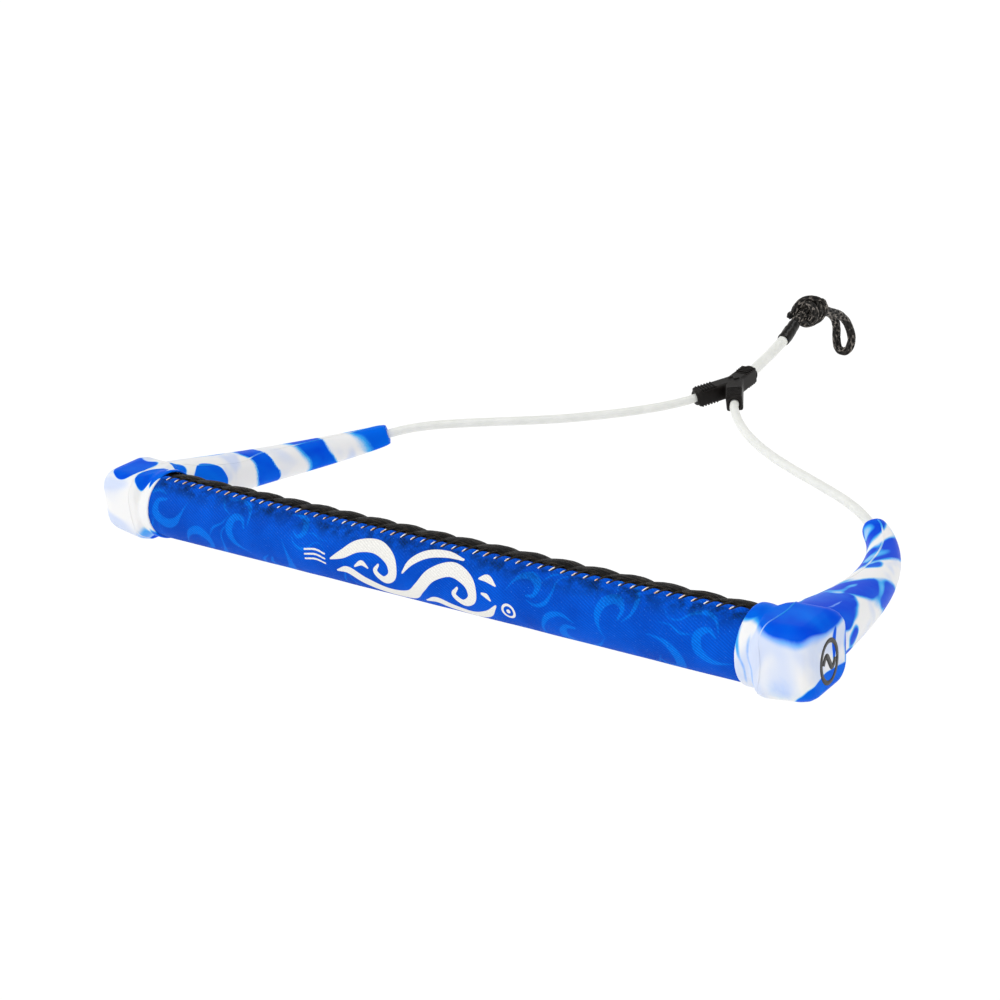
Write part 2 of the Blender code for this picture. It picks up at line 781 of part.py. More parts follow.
def build():
    handle = add_empty("handle_frame", Vector((0.0, 0.0, 0.0)))
    bridle = add_empty("bridle_pivot", BRIDLE_PIVOT, handle)
    leader = add_empty("leader_pivot", LEADER_PIVOT, bridle)
    tow = add_empty("loop_pivot", LOOP_PIVOT, leader)

    make_bar_tube(handle)
    make_float_core(handle)
    make_grip_foam(handle)
    clear = SEAM_CLEARANCE_DEG
    make_wrap("grip_cover", "blue_fabric", handle, COVER_RADIUS, COVER_THICKNESS,
              SEAM_BACK_DEG + clear, SEAM_FRONT_DEG + 360 - clear, COVER_STEPS)
    make_wrap("grip_back_strip", "black_strip", handle, STRIP_RADIUS, STRIP_THICKNESS,
              SEAM_FRONT_DEG + clear, SEAM_BACK_DEG - clear, STRIP_STEPS)
    make_seam(handle, "seam_cord_front", SEAM_FRONT_DEG)
    make_seam(handle, "seam_cord_back", SEAM_BACK_DEG)
    for side, label in ((-1, "left"), (1, "right")):
        make_end_plug(handle, side, f"end_plug_{label}")
        make_end_cap(handle, side, f"end_cap_{label}")
        make_rope_root(handle, side, f"rope_root_{label}")
        make_rope_stop(handle, side, f"rope_stop_{label}")
        make_leg(bridle, side, f"bridle_leg_{label}")
    make_yoke(bridle)
    make_leader_root(bridle)
    make_leader(leader)
    make_sleeve(leader)
    make_knot(tow)
    make_loop(tow)


clear_scene()
PARTS = new_collection("tow_rope_handle")
CUTTERS = new_collection("cutters")
MATERIALS = make_materials()
PIVOTS = {}
build()
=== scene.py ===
"""Looks of the tow rope handle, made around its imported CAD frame. Metres, +Z up.

Shapes are drawn in the bar's own frame, whose origin is on the bar's axis, in millimetres. They are
moved onto the CAD model's bar, and turned into metres, as each mesh is made.
"""
import math

import bpy
import numpy as np
from mathutils import Matrix, Vector, noise
from mathutils.bvhtree import BVHTree


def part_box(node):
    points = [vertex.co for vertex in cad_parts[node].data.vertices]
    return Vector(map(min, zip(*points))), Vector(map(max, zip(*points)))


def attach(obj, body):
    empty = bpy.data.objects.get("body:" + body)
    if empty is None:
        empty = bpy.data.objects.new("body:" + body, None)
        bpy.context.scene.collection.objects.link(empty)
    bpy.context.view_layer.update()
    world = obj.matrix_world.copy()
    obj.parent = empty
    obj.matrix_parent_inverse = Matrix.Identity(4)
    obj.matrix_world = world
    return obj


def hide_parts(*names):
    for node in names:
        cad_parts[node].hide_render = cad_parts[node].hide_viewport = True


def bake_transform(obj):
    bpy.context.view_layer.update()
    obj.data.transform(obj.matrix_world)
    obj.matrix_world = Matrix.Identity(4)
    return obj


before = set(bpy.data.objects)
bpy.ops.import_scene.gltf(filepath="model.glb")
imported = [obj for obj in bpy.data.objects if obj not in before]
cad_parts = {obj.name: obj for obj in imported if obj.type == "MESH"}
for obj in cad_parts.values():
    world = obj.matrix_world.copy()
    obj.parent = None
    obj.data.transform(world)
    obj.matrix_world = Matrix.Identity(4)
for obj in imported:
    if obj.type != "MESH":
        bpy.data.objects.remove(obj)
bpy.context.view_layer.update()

MM = 0.001
TUBE_LOW, TUBE_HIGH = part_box("bar_tube")
BAR_CENTRE = np.array((TUBE_LOW + TUBE_HIGH) / 2)

# ---- sizes, in millimetres

COVER_RADIUS = 15.25
COVER_THICKNESS = 0.7
GRIP_HALF = 163.6
GRIP_SHOWN = 159.6
SEAM_FRONT_DEG = 76.0
SEAM_BACK_DEG = 166.0
LOBE_COUNT = 19
STITCHES_PER_LOBE = 3

CAP_INNER_X = 159.6
BLOCK_SECTIONS = (
    (0, 16.1, 16.1, 16.1, 16.1),
    (0.6, 16.6, 16.6, 16.6, 16.6),
    (3.6, 16.6, 16.6, 16.6, 16.6),
    (6.6, 16.1, 16, 15.9, 15.6),
    (8.6, 16.8, 16.4, 15.8, 10.5),
    (11.6, 17, 16, 16, 8.5),
    (26, 16.4, 14.3, 16.8, 8.5),
    (29.2, 15.7, 13.4, 16.2, 8),
    (31.4, 14.2, 11.9, 14.8, 7),
    (32.4, 12.4, 10.3, 13.2, 6.2),
)
GRIP_POCKET_RADIUS = 15.55
GRIP_POCKET_DEPTH = 4.3
TUBE_POCKET_RADIUS = 11.4
TUBE_POCKET_END = 184.3
HORN_CONTROLS = np.array(((175, 8.9, 0), (175.8, 28, 0.5), (171, 110, -16), (139.8, 135.2, -6.9)))
HORN_STEPS = 200
# 1 is a round section, and less is squarer.
HORN_SQUARENESS = 0.78
HORN_SECTIONS = np.array((
    (0.00, 13.4, 14.2),
    (0.10, 13.2, 13.3),
    (0.20, 12.6, 12),
    (0.32, 11.4, 10.5),
    (0.46, 10, 9.1),
    (0.60, 8.8, 8.1),
    (0.74, 7.7, 7.2),
    (0.86, 6.7, 6.3),
    (0.95, 5.9, 5.7),
    (0.985, 5.5, 5.3),
    (1.00, 4.9, 4.8),
))

LEG_RADIUS = 2.25
# A leg starts inside its horn's tip, this share of the way back to the horn's third control point.
LEG_SETBACK = 0.5 / 31.5
CHANNEL_RADIUS = 2.7
JACKET_RADIUS = 2.85
LOOP_RADIUS = 2.2
SLEEVE_RADIUS = 3.5

# The ropes' routes are the CAD model's own.
LEG_ROUTE = (
    (137.2, 137.2, -6.1),
    (129.6, 142.9, -4.6),
    (118.4, 150.1, -3.5),
    (105.2, 157.3, -2.9),
    (91.4, 164.6, -2.5),
    (77, 172.6, -2.3),
    (62.4, 181.6, -2.1),
    (48.2, 191.8, -1.7),
    (34.8, 203.5, -1.4),
    (23.4, 215.8, -1),
    (14.7, 226.8, -0.2),
    (11.5, 232.4, 0.4),
    (7.8, 238.8, 1.1),
)
LEADER_ROUTE = (
    (0, 270.8, 4.6),
    (0, 279, 6.2),
    (0, 291, 8.7),
    (0, 303, 11.8),
    (0, 309.5, 14.4),
    (0, 316.2, 17.6),
)
LOOP_ROUTE = (
    (2.4, 343.4, 17.8),
    (2.5, 351.8, 14.2),
    (2.8, 360.6, 10.2),
    (3.4, 367, 5),
    (4.2, 370.4, -1.2),
    (4.8, 371.2, -7.2),
    (3.4, 370.2, -12.6),
    (0, 369.6, -14.5),
)
KNOT_CENTRE = np.array((0, 332.6, 19))
KNOT_TURNS = 2.35
BRIDLE_PIVOT = (137.2, 137.2, -6.1)
LOOP_PIVOT = (0, 319.2, 18.6)
# Mouths of the Y moulding: centre, direction out of it, ring radius and the ring's own thickness.
YOKE_MOUTHS = (
    ((11.5, 232.3, 0.4), (0.5, -0.86, -0.09), 3.35, 0.75),
    ((-11.5, 232.3, 0.4), (-0.5, -0.86, -0.09), 3.35, 0.75),
    ((0, 267.7, 4.1), (0, 0.99, 0.10), 3.85, 0.6),
)
# The Y moulding's ribs: each arm's direction, its length from the junction and how many ribs it has.
YOKE_CENTRE = np.array((0, 252.2, 2.5))
YOKE_PITCH_DEG = 6.0
YOKE_ARMS = ((0, 15.6, 4), (150, 23, 6), (210, 23, 6))
YOKE_HALF = 4.3
RIB_START = 1.9
RIB_PITCH = 1.7
RIB_RADIUS = 0.48
# A plain raised S on the middle of the Y moulding's top.
BOSS_LINE = ((-2.6, 250.4, 6.75), (-1.2, 252.4, 6.95), (0, 251.4, 6.85), (1.2, 250.4, 6.75),
             (2.6, 252.4, 6.95))

# The camera, in the bar's frame.
CAMERA_PLACE = np.array((520.36, -595.06, 344.16))
CAMERA_AZIMUTH = 38.90
CAMERA_ELEVATION = 21.81
CAMERA_ROLL = -4.89
CAMERA_LENS = 72.0
CAMERA_SENSOR = 36.0


# ---- placing and lines

def to_world(points):
    """Bar-frame millimetres as world metres."""
    return np.asarray(points, float) * MM + BAR_CENTRE


def unit(vectors):
    return vectors / np.linalg.norm(vectors, axis=-1, keepdims=True)


def distances(line):
    """How far along a line each of its points is."""
    return np.concatenate([[0.0], np.cumsum(np.linalg.norm(np.diff(line, axis=0), axis=1))])


def resample(line, spacing, dims=3):
    """The same line with its points at an even spacing; the first dims columns are its place."""
    along = distances(line[:, :dims])
    count = max(2, int(round(along[-1] / spacing)))
    marks = np.linspace(0, along[-1], count + 1)
    return np.stack([np.interp(marks, along, column) for column in line.T], axis=1)


def smooth_line(points, spacing, dims=3):
    """Points at an even spacing along a Catmull-Rom curve through given ones."""
    knots = np.array(points, float)
    padded = np.vstack([2 * knots[0] - knots[1], knots, 2 * knots[-1] - knots[-2]])
    share = np.linspace(0, 1, 16, endpoint=False)[:, None]
    parts = []
    for a, b, c, d in zip(padded, padded[1:], padded[2:], padded[3:]):
        parts.append(0.5 * (2 * b + (c - a) * share + (2 * a - 5 * b + 4 * c - d) * share ** 2
                            + (3 * b - a - 3 * c + d) * share ** 3))
    return resample(np.vstack(parts + [knots[-1:]]), spacing, dims)


def mirrored(points, side):
    return np.asarray(points, float) * np.array((side, 1, 1))


def line_frames(line):
    """For each point of a line, two directions square to it that turn as little as they can."""
    ahead = unit(np.gradient(line, axis=0))
    across = np.cross(ahead[0], (0, 0, 1))
    if np.linalg.norm(across) < 0.2:
        across = np.cross(ahead[0], (1, 0, 0))
    out_across = []
    for direction in ahead:
        across = unit(across - direction * across.dot(direction))
        out_across.append(across)
    out_across = np.array(out_across)
    return out_across, np.cross(out_across, ahead)


def smoothstep(low, high, value):
    share = np.clip((np.asarray(value, float) - low) / (high - low), 0, 1)
    return share * share * (3 - 2 * share)


def noise_field(points, scale, seed):
    """Smooth noise from -1 to 1 at each point of a list or grid; scale is the size of its lumps."""
    shift = Vector((seed * 17.3, seed * 5.9, seed * 11.1))
    values = [noise.noise(Vector(p) / scale + shift) for p in points.reshape(-1, 3)]
    return np.reshape(values, points.shape[:-1])


# ---- meshes

def add_object(name, data):
    thing = bpy.data.objects.new(name, data)
    bpy.context.scene.collection.objects.link(thing)
    return thing


def add_mesh(name, places, faces):
    """A smooth-shaded mesh from places in the world."""
    mesh = bpy.data.meshes.new(name)
    mesh.from_pydata(places, [], faces)
    mesh.validate()
    mesh.shade_smooth()
    return add_object(name, mesh)


def new_object(name, points, faces):
    """A smooth-shaded mesh from bar-frame points."""
    return add_mesh(name, to_world(points).tolist(), faces)


def grid_faces(rows, columns, closed):
    """Quads between the points of a grid, each row being one ring or one open line."""
    faces = []
    last = columns if closed else columns - 1
    for row in range(rows - 1):
        for column in range(last):
            a = row * columns + column
            b = row * columns + (column + 1) % columns
            faces.append((a, b, b + columns, a + columns))
    return faces


def grid_object(name, grid, closed=True, capped=True):
    """A skin through rings of points, closed at both ends if it is capped."""
    rows, columns = grid.shape[:2]
    faces = grid_faces(rows, columns, closed)
    if capped:
        faces.append(tuple(reversed(range(columns))))
        faces.append(tuple(range((rows - 1) * columns, rows * columns)))
    return new_object(name, grid.reshape(-1, 3), faces)


# The smallest ring of a round end, as a share of the rope's radius.
END_OPENING = 0.06


def tube_grid(line, radius, sides=20, relief=None):
    """Rings around a line. radius is a number or one for each point; relief(turn, along) adds to it."""
    across, up = line_frames(line)
    turn = np.linspace(0, 2 * math.pi, sides, endpoint=False)
    radii = np.broadcast_to(np.asarray(radius, float), (len(line),))[:, None] * np.ones(sides)
    if relief is not None:
        radii = radii + relief(turn[None, :], distances(line)[:, None])
    spokes = (across[:, None, :] * np.cos(turn)[None, :, None]
              + up[:, None, :] * np.sin(turn)[None, :, None])
    return line[:, None, :] + spokes * radii[:, :, None]


def tube_object(name, line, radius, sides=20, relief=None):
    return grid_object(name, tube_grid(line, radius, sides, relief))


def rounded_ends(line, radius):
    """A radius for each point of a line that closes both of its ends in a half ball."""
    along = distances(line)
    rest = np.minimum(along, along[-1] - along)
    share = np.clip(rest / radius, 0, 1)
    return radius * np.maximum(np.sqrt(1 - (1 - share) ** 2), END_OPENING)


def braid_relief(radius, strands, pitch, depth):
    """A braid's relief: two sets of strands that wind both ways and cross."""
    def relief(turn, along):
        one = np.cos((strands * turn + 2 * math.pi * along / pitch) / 2) ** 2
        other = np.cos((strands * turn - 2 * math.pi * along / pitch) / 2) ** 2
        return radius * depth * (np.maximum(one, other) - 0.75)
    return relief


def join(name, things):
    """Several meshes as one object of separate bodies."""
    vertices = []
    faces = []
    for thing in things:
        start = len(vertices)
        vertices += [v.co[:] for v in thing.data.vertices]
        faces += [tuple(start + i for i in p.vertices) for p in thing.data.polygons]
    discard(*things)
    return add_mesh(name, vertices, faces)


def discard(*things):
    for thing in things:
        bpy.data.objects.remove(thing, do_unlink=True)


def modify(thing, kind, **settings):
    modifier = thing.modifiers.new(kind.lower(), kind)
    for key, value in settings.items():
        setattr(modifier, key, value)


def solidify(thing, thickness):
    modify(thing, "SOLIDIFY", thickness=thickness * MM, offset=-1, use_even_offset=True)


def remesh(thing, voxel, passes):
    modify(thing, "REMESH", mode="VOXEL", voxel_size=voxel * MM)
    modify(thing, "SMOOTH", factor=0.5, iterations=passes)


def evaluated_copy(thing, name):
    """The thing with its modifiers applied, as a new object."""
    bpy.context.view_layer.update()
    shown = thing.evaluated_get(bpy.context.evaluated_depsgraph_get())
    mesh = bpy.data.meshes.new_from_object(shown)
    mesh.shade_smooth()
    return add_object(name, mesh)


def set_attribute(thing, name, values, kind="FLOAT"):
    attribute = thing.data.attributes.new(name, kind, "POINT")
    key = "vector" if kind == "FLOAT_VECTOR" else "value"
    attribute.data.foreach_set(key, np.asarray(values, np.float32).ravel())


def bar_points(thing):
    """A mesh's points in the bar's frame, in millimetres."""
    flat = np.empty(len(thing.data.vertices) * 3, np.float32)
    thing.data.vertices.foreach_get("co", flat)
    return (flat.reshape(-1, 3).astype(float) - BAR_CENTRE) / MM


# ---- materials

class NodeTree:
    """The nodes of a material or of the world."""

    def __init__(self, owner):
        self.owner = owner
        owner.use_nodes = True
        self.nodes = owner.node_tree.nodes
        self.links = owner.node_tree.links

    def put(self, socket, value):
        """Links a socket to another node's output, or sets it."""
        if isinstance(value, bpy.types.NodeSocket):
            self.links.new(value, socket)
        elif isinstance(value, tuple) and len(value) == 3 and socket.type == "RGBA":
            socket.default_value = (*value, 1)
        else:
            socket.default_value = value

    def node(self, kind, output, values, **props):
        """One output of a new node; values are by a socket's name or number."""
        made = self.nodes.new("ShaderNode" + kind)
        for key, value in props.items():
            setattr(made, key, value)
        for key, value in values.items():
            self.put(made.inputs[key], value)
        return made.outputs[output]


class Shader(NodeTree):
    """Short calls for building one material's nodes."""

    def __init__(self, name, roughness, **surface):
        super().__init__(bpy.data.materials.new(name))
        self.set_surface(Roughness=roughness, **surface)

    def set_surface(self, **values):
        """Sets or links the surface's own sockets, apart from those that are None."""
        sockets = self.nodes["Principled BSDF"].inputs
        for key, value in values.items():
            if value is not None:
                self.put(sockets[key.replace("_", " ")], value)

    def math(self, operation, *values):
        return self.node("Math", 0, dict(enumerate(values)), operation=operation)

    def times(self, a, b):
        return self.math("MULTIPLY", a, b)

    def scaled(self, value, scale, offset):
        return self.math("MULTIPLY_ADD", value, scale, offset)

    def mix(self, share, a, b):
        """A blend of two colours."""
        return self.node("Mix", 2, {0: share, 6: a, 7: b}, data_type="RGBA")

    def ramp(self, value, low, high):
        """0 below low, 1 above high, and smooth between."""
        return self.node("MapRange", 0, {0: value, 1: low, 2: high}, interpolation_type="SMOOTHSTEP")

    def attribute(self, name, output="Fac"):
        return self.node("Attribute", output, {}, attribute_name=name)

    def place(self, *scale):
        """The surface's own place, which stays with it when it moves, stretched if a scale is given."""
        place = self.node("TexCoord", "Object", {})
        return self.stretched(place, scale) if scale else place

    def stretched(self, vector, scale):
        return self.node("Mapping", 0, {"Vector": vector, "Scale": scale})

    def noise(self, scale, detail=3, rough=0.5, vector=None, distortion=0):
        place = self.place() if vector is None else vector
        return self.node("TexNoise", 0, {"Vector": place, "Scale": scale, "Detail": detail,
                                         "Roughness": rough, "Distortion": distortion})

    def wave(self, vector, scale, distortion, detail, output="Fac", way="DIAGONAL"):
        values = {"Vector": vector, "Scale": scale, "Distortion": distortion, "Detail": detail}
        return self.node("TexWave", output, values, bands_direction=way)

    def bump(self, height, distance, strength, under=None):
        """Relief from a height, on top of the relief under it."""
        values = {"Strength": strength, "Distance": distance, "Height": height}
        if under is not None:
            values["Normal"] = under
        return self.node("Bump", 0, values)

    def finish(self, color, roughness=None, normal=None):
        self.set_surface(Base_Color=color, Roughness=roughness, Normal=normal)
        return self.owner

    def finish_grained(self, grain, dark, light, edges=None, rough=None, relief=None):
        """One grain sets the colour, between two edges of it, and the roughness and the relief."""
        color = self.mix(self.ramp(grain, *edges) if edges else grain, dark, light)
        roughness = self.scaled(grain, *rough) if rough else None
        return self.finish(color, roughness, self.bump(grain, *relief) if relief else None)


def fabric_material():
    """Blue stretch twill with a paler tone-on-tone print, a white motif, painted shade under the seam and
    towards the bottom, painted sparkle on the grain and painted shade in the twill's hollows.
    """
    s = Shader("printed_fabric", 0.55, IOR=1.1)
    cloth = s.attribute("cloth", "Vector")
    grain = s.noise(1400, 2, 0.6, cloth)
    broad = s.noise(38, 3, 0.55, cloth)
    base = s.mix(s.ramp(broad, 0.3, 0.7), (0, 0.066, 0.50), (0, 0.106, 0.70))
    swirl = s.ramp(s.attribute("swirl"), -0.35, 0.45)
    print_wear = s.ramp(s.noise(700, 3, 0.6, cloth), 0.2, 0.55)
    base = s.mix(s.times(swirl, s.scaled(print_wear, 0.30, 0.32)), base, (0, 0.235, 0.95))
    shade = s.times(s.attribute("shade"), s.ramp(s.noise(160, 4, 0.65, cloth), 0.35, 0.62))
    base = s.mix(shade, base, (0.001, 0.024, 0.10))
    # Painted shade: the cloth is darker towards the grip's bottom, where the under attribute is high.
    base = s.mix(s.times(s.attribute("under"), 0.75), base, (0, 0.045, 0.36))
    # Painted sparkle: pale blue specks on the brightest grain.
    base = s.mix(s.times(s.ramp(grain, 0.62, 0.76), 0.55), base, (0.10, 0.34, 0.98))
    ink = s.ramp(s.attribute("ink"), -0.10, 0.10)
    white = s.mix(s.ramp(grain, 0.3, 0.7), (0.80, 0.79, 0.75), (0.88, 0.87, 0.83))
    color = s.mix(ink, base, white)
    twill = s.wave(s.stretched(cloth, (1, 1.9, 1)), 265, 0.4, 1)
    weft = s.wave(cloth, 900, 0.3, 1, way="X")
    # Painted shade: the twill's hollows are darker.
    twill_hollow_shade = s.mix(ink, (0, 0.04, 0.40), (0.66, 0.66, 0.66))
    color = s.mix(s.times(s.ramp(twill, 0.1, 0.9), 0.42), color, twill_hollow_shade)
    relief = s.bump(weft, 0.00004, 0.5, s.bump(twill, 0.00009, 0.9))
    relief = s.bump(broad, 0.0006, 0.35, relief)
    return s.finish(color, s.scaled(grain, 0.2, 0.5), relief)


def webbing_material():
    """Black cord webbing whose fibres run along the lobes, brown where the light catches them."""
    s = Shader("black_webbing", 0.5, IOR=1.2)
    fibre = s.noise(900, 4, 0.65, s.stretched(s.attribute("cloth", "Vector"), (0.16, 1, 1)), 0.4)
    return s.finish_grained(fibre, (0.0015, 0.0012, 0.001), (0.050, 0.036, 0.022), edges=(0.50, 0.74),
                            rough=(-0.25, 0.66), relief=(0.0004, 0.9))


def thread_material():
    s = Shader("black_thread", 0.42, Specular_IOR_Level=0.15)
    return s.finish_grained(s.noise(2600, 2, 0.6), (0.004, 0.004, 0.004), (0.03, 0.024, 0.018),
                            edges=(0.35, 0.7), relief=(0.0001, 0.6))


def filament_painted_glint_material():
    """Clear nylon whose warm pale white to amber colour is a painted glint."""
    s = Shader("nylon_filament", 0.12, Coat_Weight=0.6)
    return s.finish_grained(s.noise(500, 2), (0.92, 0.90, 0.86), (0.85, 0.52, 0.26), edges=(0.42, 0.6))


def marbled_material():
    """Soft moulded rubber in swirled blue and white; the marble attribute says how blue it is."""
    s = Shader("marbled_rubber", 0.34, IOR=1.08, Subsurface_Weight=0.06,
               Subsurface_Radius=(0.0006, 0.0008, 0.0012))
    veins = s.noise(70, 4, 0.6, s.place(1, 0.35, 1), 1.6)
    smears = s.noise(24, 2, 0.5, s.place(0.8, 0.8, 1.6), 0.8)
    value = s.math("ADD", s.attribute("marble"), s.scaled(veins, 0.20, -0.10))
    value = s.math("ADD", value, s.scaled(smears, 0.16, -0.08))
    tint = s.ramp(s.noise(34, 2, 0.5, None, 0.6), 0.44, 0.62)
    white = s.mix(tint, (0.84, 0.84, 0.84), (0.62, 0.69, 0.86))
    sky = s.mix(tint, (0.05, 0.42, 0.88), (0.22, 0.44, 0.92))
    depth = s.ramp(s.noise(30, 3, 0.5, None, 0.8), 0.35, 0.7)
    deep = s.mix(depth, (0, 0.062, 0.70), (0, 0.15, 0.80))
    color = s.mix(s.ramp(value, 0.12, 0.48), white, sky)
    color = s.mix(s.ramp(value, 0.40, 0.68), color, deep)
    fine = s.noise(900, 2)
    relief = s.bump(fine, 0.00003, 0.4, s.bump(s.noise(60, 2), 0.0005, 0.25))
    return s.finish(color, s.scaled(fine, 0.14, 0.27), relief)


def coated_rope_material():
    """Off-white coating over a braid that shows faintly through it, with a few grey rub marks."""
    s = Shader("coated_rope", 0.38, Subsurface_Weight=0.1, Subsurface_Radius=(0.0008, 0.0008, 0.0006))
    mottle = s.noise(160, 3, 0.55)
    color = s.mix(s.ramp(mottle, 0.35, 0.7), (0.76, 0.77, 0.73), (0.81, 0.815, 0.78))
    rub = s.ramp(s.noise(420, 4, 0.7), 0.66, 0.8)
    color = s.mix(s.times(rub, 0.12), color, (0.60, 0.60, 0.58))
    return s.finish(color, s.scaled(mottle, 0.2, 0.28), s.bump(s.noise(650, 2), 0.00012, 0.35))


def plastic_material():
    """Black glass-filled plastic with a fine grain, paler along worn edges."""
    s = Shader("black_plastic", 0.4, Specular_IOR_Level=0.14)
    cloud = s.noise(220)
    color = s.mix(s.ramp(cloud, 0.35, 0.7), (0.006, 0.005, 0.0045), (0.012, 0.010, 0.009))
    edge = s.node("NewGeometry", "Pointiness", {})
    color = s.mix(s.times(s.ramp(edge, 0.53, 0.62), 0.35), color, (0.07, 0.065, 0.06))
    return s.finish(color, s.scaled(cloud, 0.3, 0.27), s.bump(s.noise(2400, 3, 0.6), 0.00006, 0.6))


def sleeve_material():
    """Glossy heat-shrink tube with faint lengthwise drawing marks."""
    s = Shader("shrink_tube", 0.2, Specular_IOR_Level=0.22)
    marks = s.noise(500, 3, 0.6, s.place(1, 0.12, 0.3))
    return s.finish_grained(marks, (0.004, 0.004, 0.004), (0.014, 0.011, 0.009), edges=(0.4, 0.7),
                            rough=(0.25, 0.12), relief=(0.00015, 0.5))


def black_rope_material():
    """Waxed black braid: fine fibres in each strand, painted shade between the strands and painted grey-brown
    highlights on their tops.
    """
    s = Shader("black_braid", 0.36, Specular_IOR_Level=0.16)
    fibre = s.noise(1400, 4, 0.65, None, 0.5)
    gloss = s.noise(300, 2, 0.5, None, 0.8)
    height = s.attribute("strand")
    # Painted shade: the hollows between the strands are darker than their tops.
    color = s.mix(s.ramp(height, 0.25, 1), (0.002, 0.0018, 0.0015), (0.014, 0.012, 0.010))
    # Painted highlights: grey-brown glints on the strands' tops.
    glint = s.times(s.ramp(gloss, 0.46, 0.66), s.ramp(height, 0.55, 1))
    glint = s.times(glint, s.scaled(s.ramp(fibre, 0.4, 0.6), 0.6, 0.4))
    color = s.mix(s.times(glint, 0.85), color, (0.36, 0.32, 0.28))
    return s.finish(color, s.scaled(fibre, 0.3, 0.2), s.bump(fibre, 0.0002, 0.8))


def aluminium_material():
    s = Shader("drawn_aluminium", 0.32, Metallic=1)
    return s.finish_grained(s.noise(900, 2, 0.5, s.place(0.05, 1, 1)), (0.58, 0.59, 0.61),
                            (0.70, 0.71, 0.73), rough=(0.25, 0.2), relief=(0.00003, 0.5))


def foam_material(name, dark, light):
    """Closed-cell foam: round cells pressed close together."""
    s = Shader(name, 0.85)
    cells = s.node("TexVoronoi", 0, {"Vector": s.place(), "Scale": 1600})
    return s.finish_grained(cells, dark, light, edges=(0.1, 0.6), relief=(0.0002, 0.7))


def core_rope_material():
    s = Shader("core_braid", 0.7)
    return s.finish_grained(s.wave(s.place(), 420, 1.5, 2, "Color"), (0.34, 0.34, 0.31), (0.60, 0.60, 0.55),
                            relief=(0.0003, 0.6))


def grey_plastic_material():
    s = Shader("grey_plastic", 0.5)
    return s.finish_grained(s.noise(1800, 3, 0.6), (0.16, 0.16, 0.17), (0.24, 0.24, 0.25),
                            rough=(0.2, 0.42), relief=(0.00005, 0.5))


def badge_material():
    s = Shader("black_ink", 0.45)
    return s.finish_grained(s.noise(1500, 3, 0.6), (0.012, 0.011, 0.010), (0.035, 0.033, 0.031),
                            edges=(0.3, 0.75), relief=(0.00002, 0.4))


def floor_material():
    """A light table: it glows, so that shadows on it stay faint."""
    s = Shader("light_table", 0.8, Specular_IOR_Level=0.1, Emission_Color=(1, 1, 1), Emission_Strength=0.90)
    return s.finish_grained(s.noise(3, 2), (0.12, 0.12, 0.12), (0.14, 0.14, 0.14))


MATERIALS = {
    "fabric": fabric_material(),
    "webbing": webbing_material(),
    "thread": thread_material(),
    "filament_painted_glint": filament_painted_glint_material(),
    "marbled": marbled_material(),
    "coated": coated_rope_material(),
    "plastic": plastic_material(),
    "sleeve": sleeve_material(),
    "braid": black_rope_material(),
    "aluminium": aluminium_material(),
    "float_foam": foam_material("float_foam", (0.66, 0.64, 0.55), (0.86, 0.84, 0.75)),
    "eva_foam": foam_material("eva_foam", (0.012, 0.012, 0.014), (0.04, 0.04, 0.045)),
    "core": core_rope_material(),
    "grey": grey_plastic_material(),
    "badge": badge_material(),
    "floor": floor_material(),
}


def dress(thing, material, body=None, replaces=()):
    """Gives a piece its material and slot, and hangs it on its body."""
    thing.data.materials.clear()
    thing.data.materials.append(MATERIALS[material])
    if replaces:
        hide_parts(*replaces)
    if body:
        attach(thing, body)
    return thing


# ---- camera and ropes

def make_camera():
    camera = add_object("camera", bpy.data.cameras.new("camera"))
    camera.data.lens = CAMERA_LENS
    camera.data.sensor_width = CAMERA_SENSOR
    camera.data.clip_start = 0.01
    turn = (Matrix.Rotation(math.radians(CAMERA_AZIMUTH), 4, "Z")
            @ Matrix.Rotation(math.radians(90 - CAMERA_ELEVATION), 4, "X")
            @ Matrix.Rotation(math.radians(CAMERA_ROLL), 4, "Z"))
    camera.matrix_world = Matrix.Translation(to_world(CAMERA_PLACE)) @ turn
    bpy.context.scene.camera = camera


def bend(thing, start, end):
    to_world(start).tolist()
    to_world(end).tolist()
    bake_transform(thing)


def coating_relief(radius):
    """The slight lumps that a braid leaves in the coating over it."""
    return braid_relief(radius, 6, 11, 0.004)


def make_legs():
    """Each bridle leg starts inside its horn's tip, and ends in the Y moulding."""
    legs = []
    for side, label in ((-1, "left"), (1, "right")):
        tip = HORN_CONTROLS[3] + LEG_SETBACK * (HORN_CONTROLS[2] - HORN_CONTROLS[3])
        line = mirrored(smooth_line((tuple(tip),) + LEG_ROUTE, 1.1), side)
        leg = tube_object(f"rope_leg_{label}", line, LEG_RADIUS, 24, coating_relief(LEG_RADIUS))
        dress(leg, "coated", None, [f"bridle_leg_{label}"])
        start = mirrored(HORN_CONTROLS[3], side)
        end = 2 * mirrored(BRIDLE_PIVOT, side) - start
        bend(leg, start, end)
        legs.append((leg, line))
    return legs


def make_leader_rope():
    """The thick leader, from its socket in the Y to inside the sleeve."""
    route = ((0, 262, 3), (0, 266.4, 3.8)) + LEADER_ROUTE[:4] + ((0, 307, 13.4),)
    line = smooth_line(route, 0.9)
    rope = tube_object("leader_rope", line, JACKET_RADIUS, 28, coating_relief(JACKET_RADIUS))
    dress(rope, "coated", None, ["leader_jacket", "leader_root"])
    bend(rope, (0, 267.4, 4), (0, 274.2, 5.2))
    return rope, line


def braided_rope(name, line, radius, sides=44, strands=6, pitch=6.6, depth=0.34):
    """A rope with its braid in relief and round ends; strand says how far each point stands out, 0 to 1."""
    radii = rounded_ends(line, radius)
    relief = braid_relief(radius, strands, pitch, depth)
    grid = tube_grid(line, radii, sides, lambda turn, along: relief(turn, along) * (radii / radius)[:, None])
    rope = grid_object(name, grid)
    out = np.linalg.norm(grid - grid.mean(axis=1, keepdims=True), axis=2)
    set_attribute(rope, "strand", smoothstep(0.84 * radius, 1.06 * radius, out))
    return rope


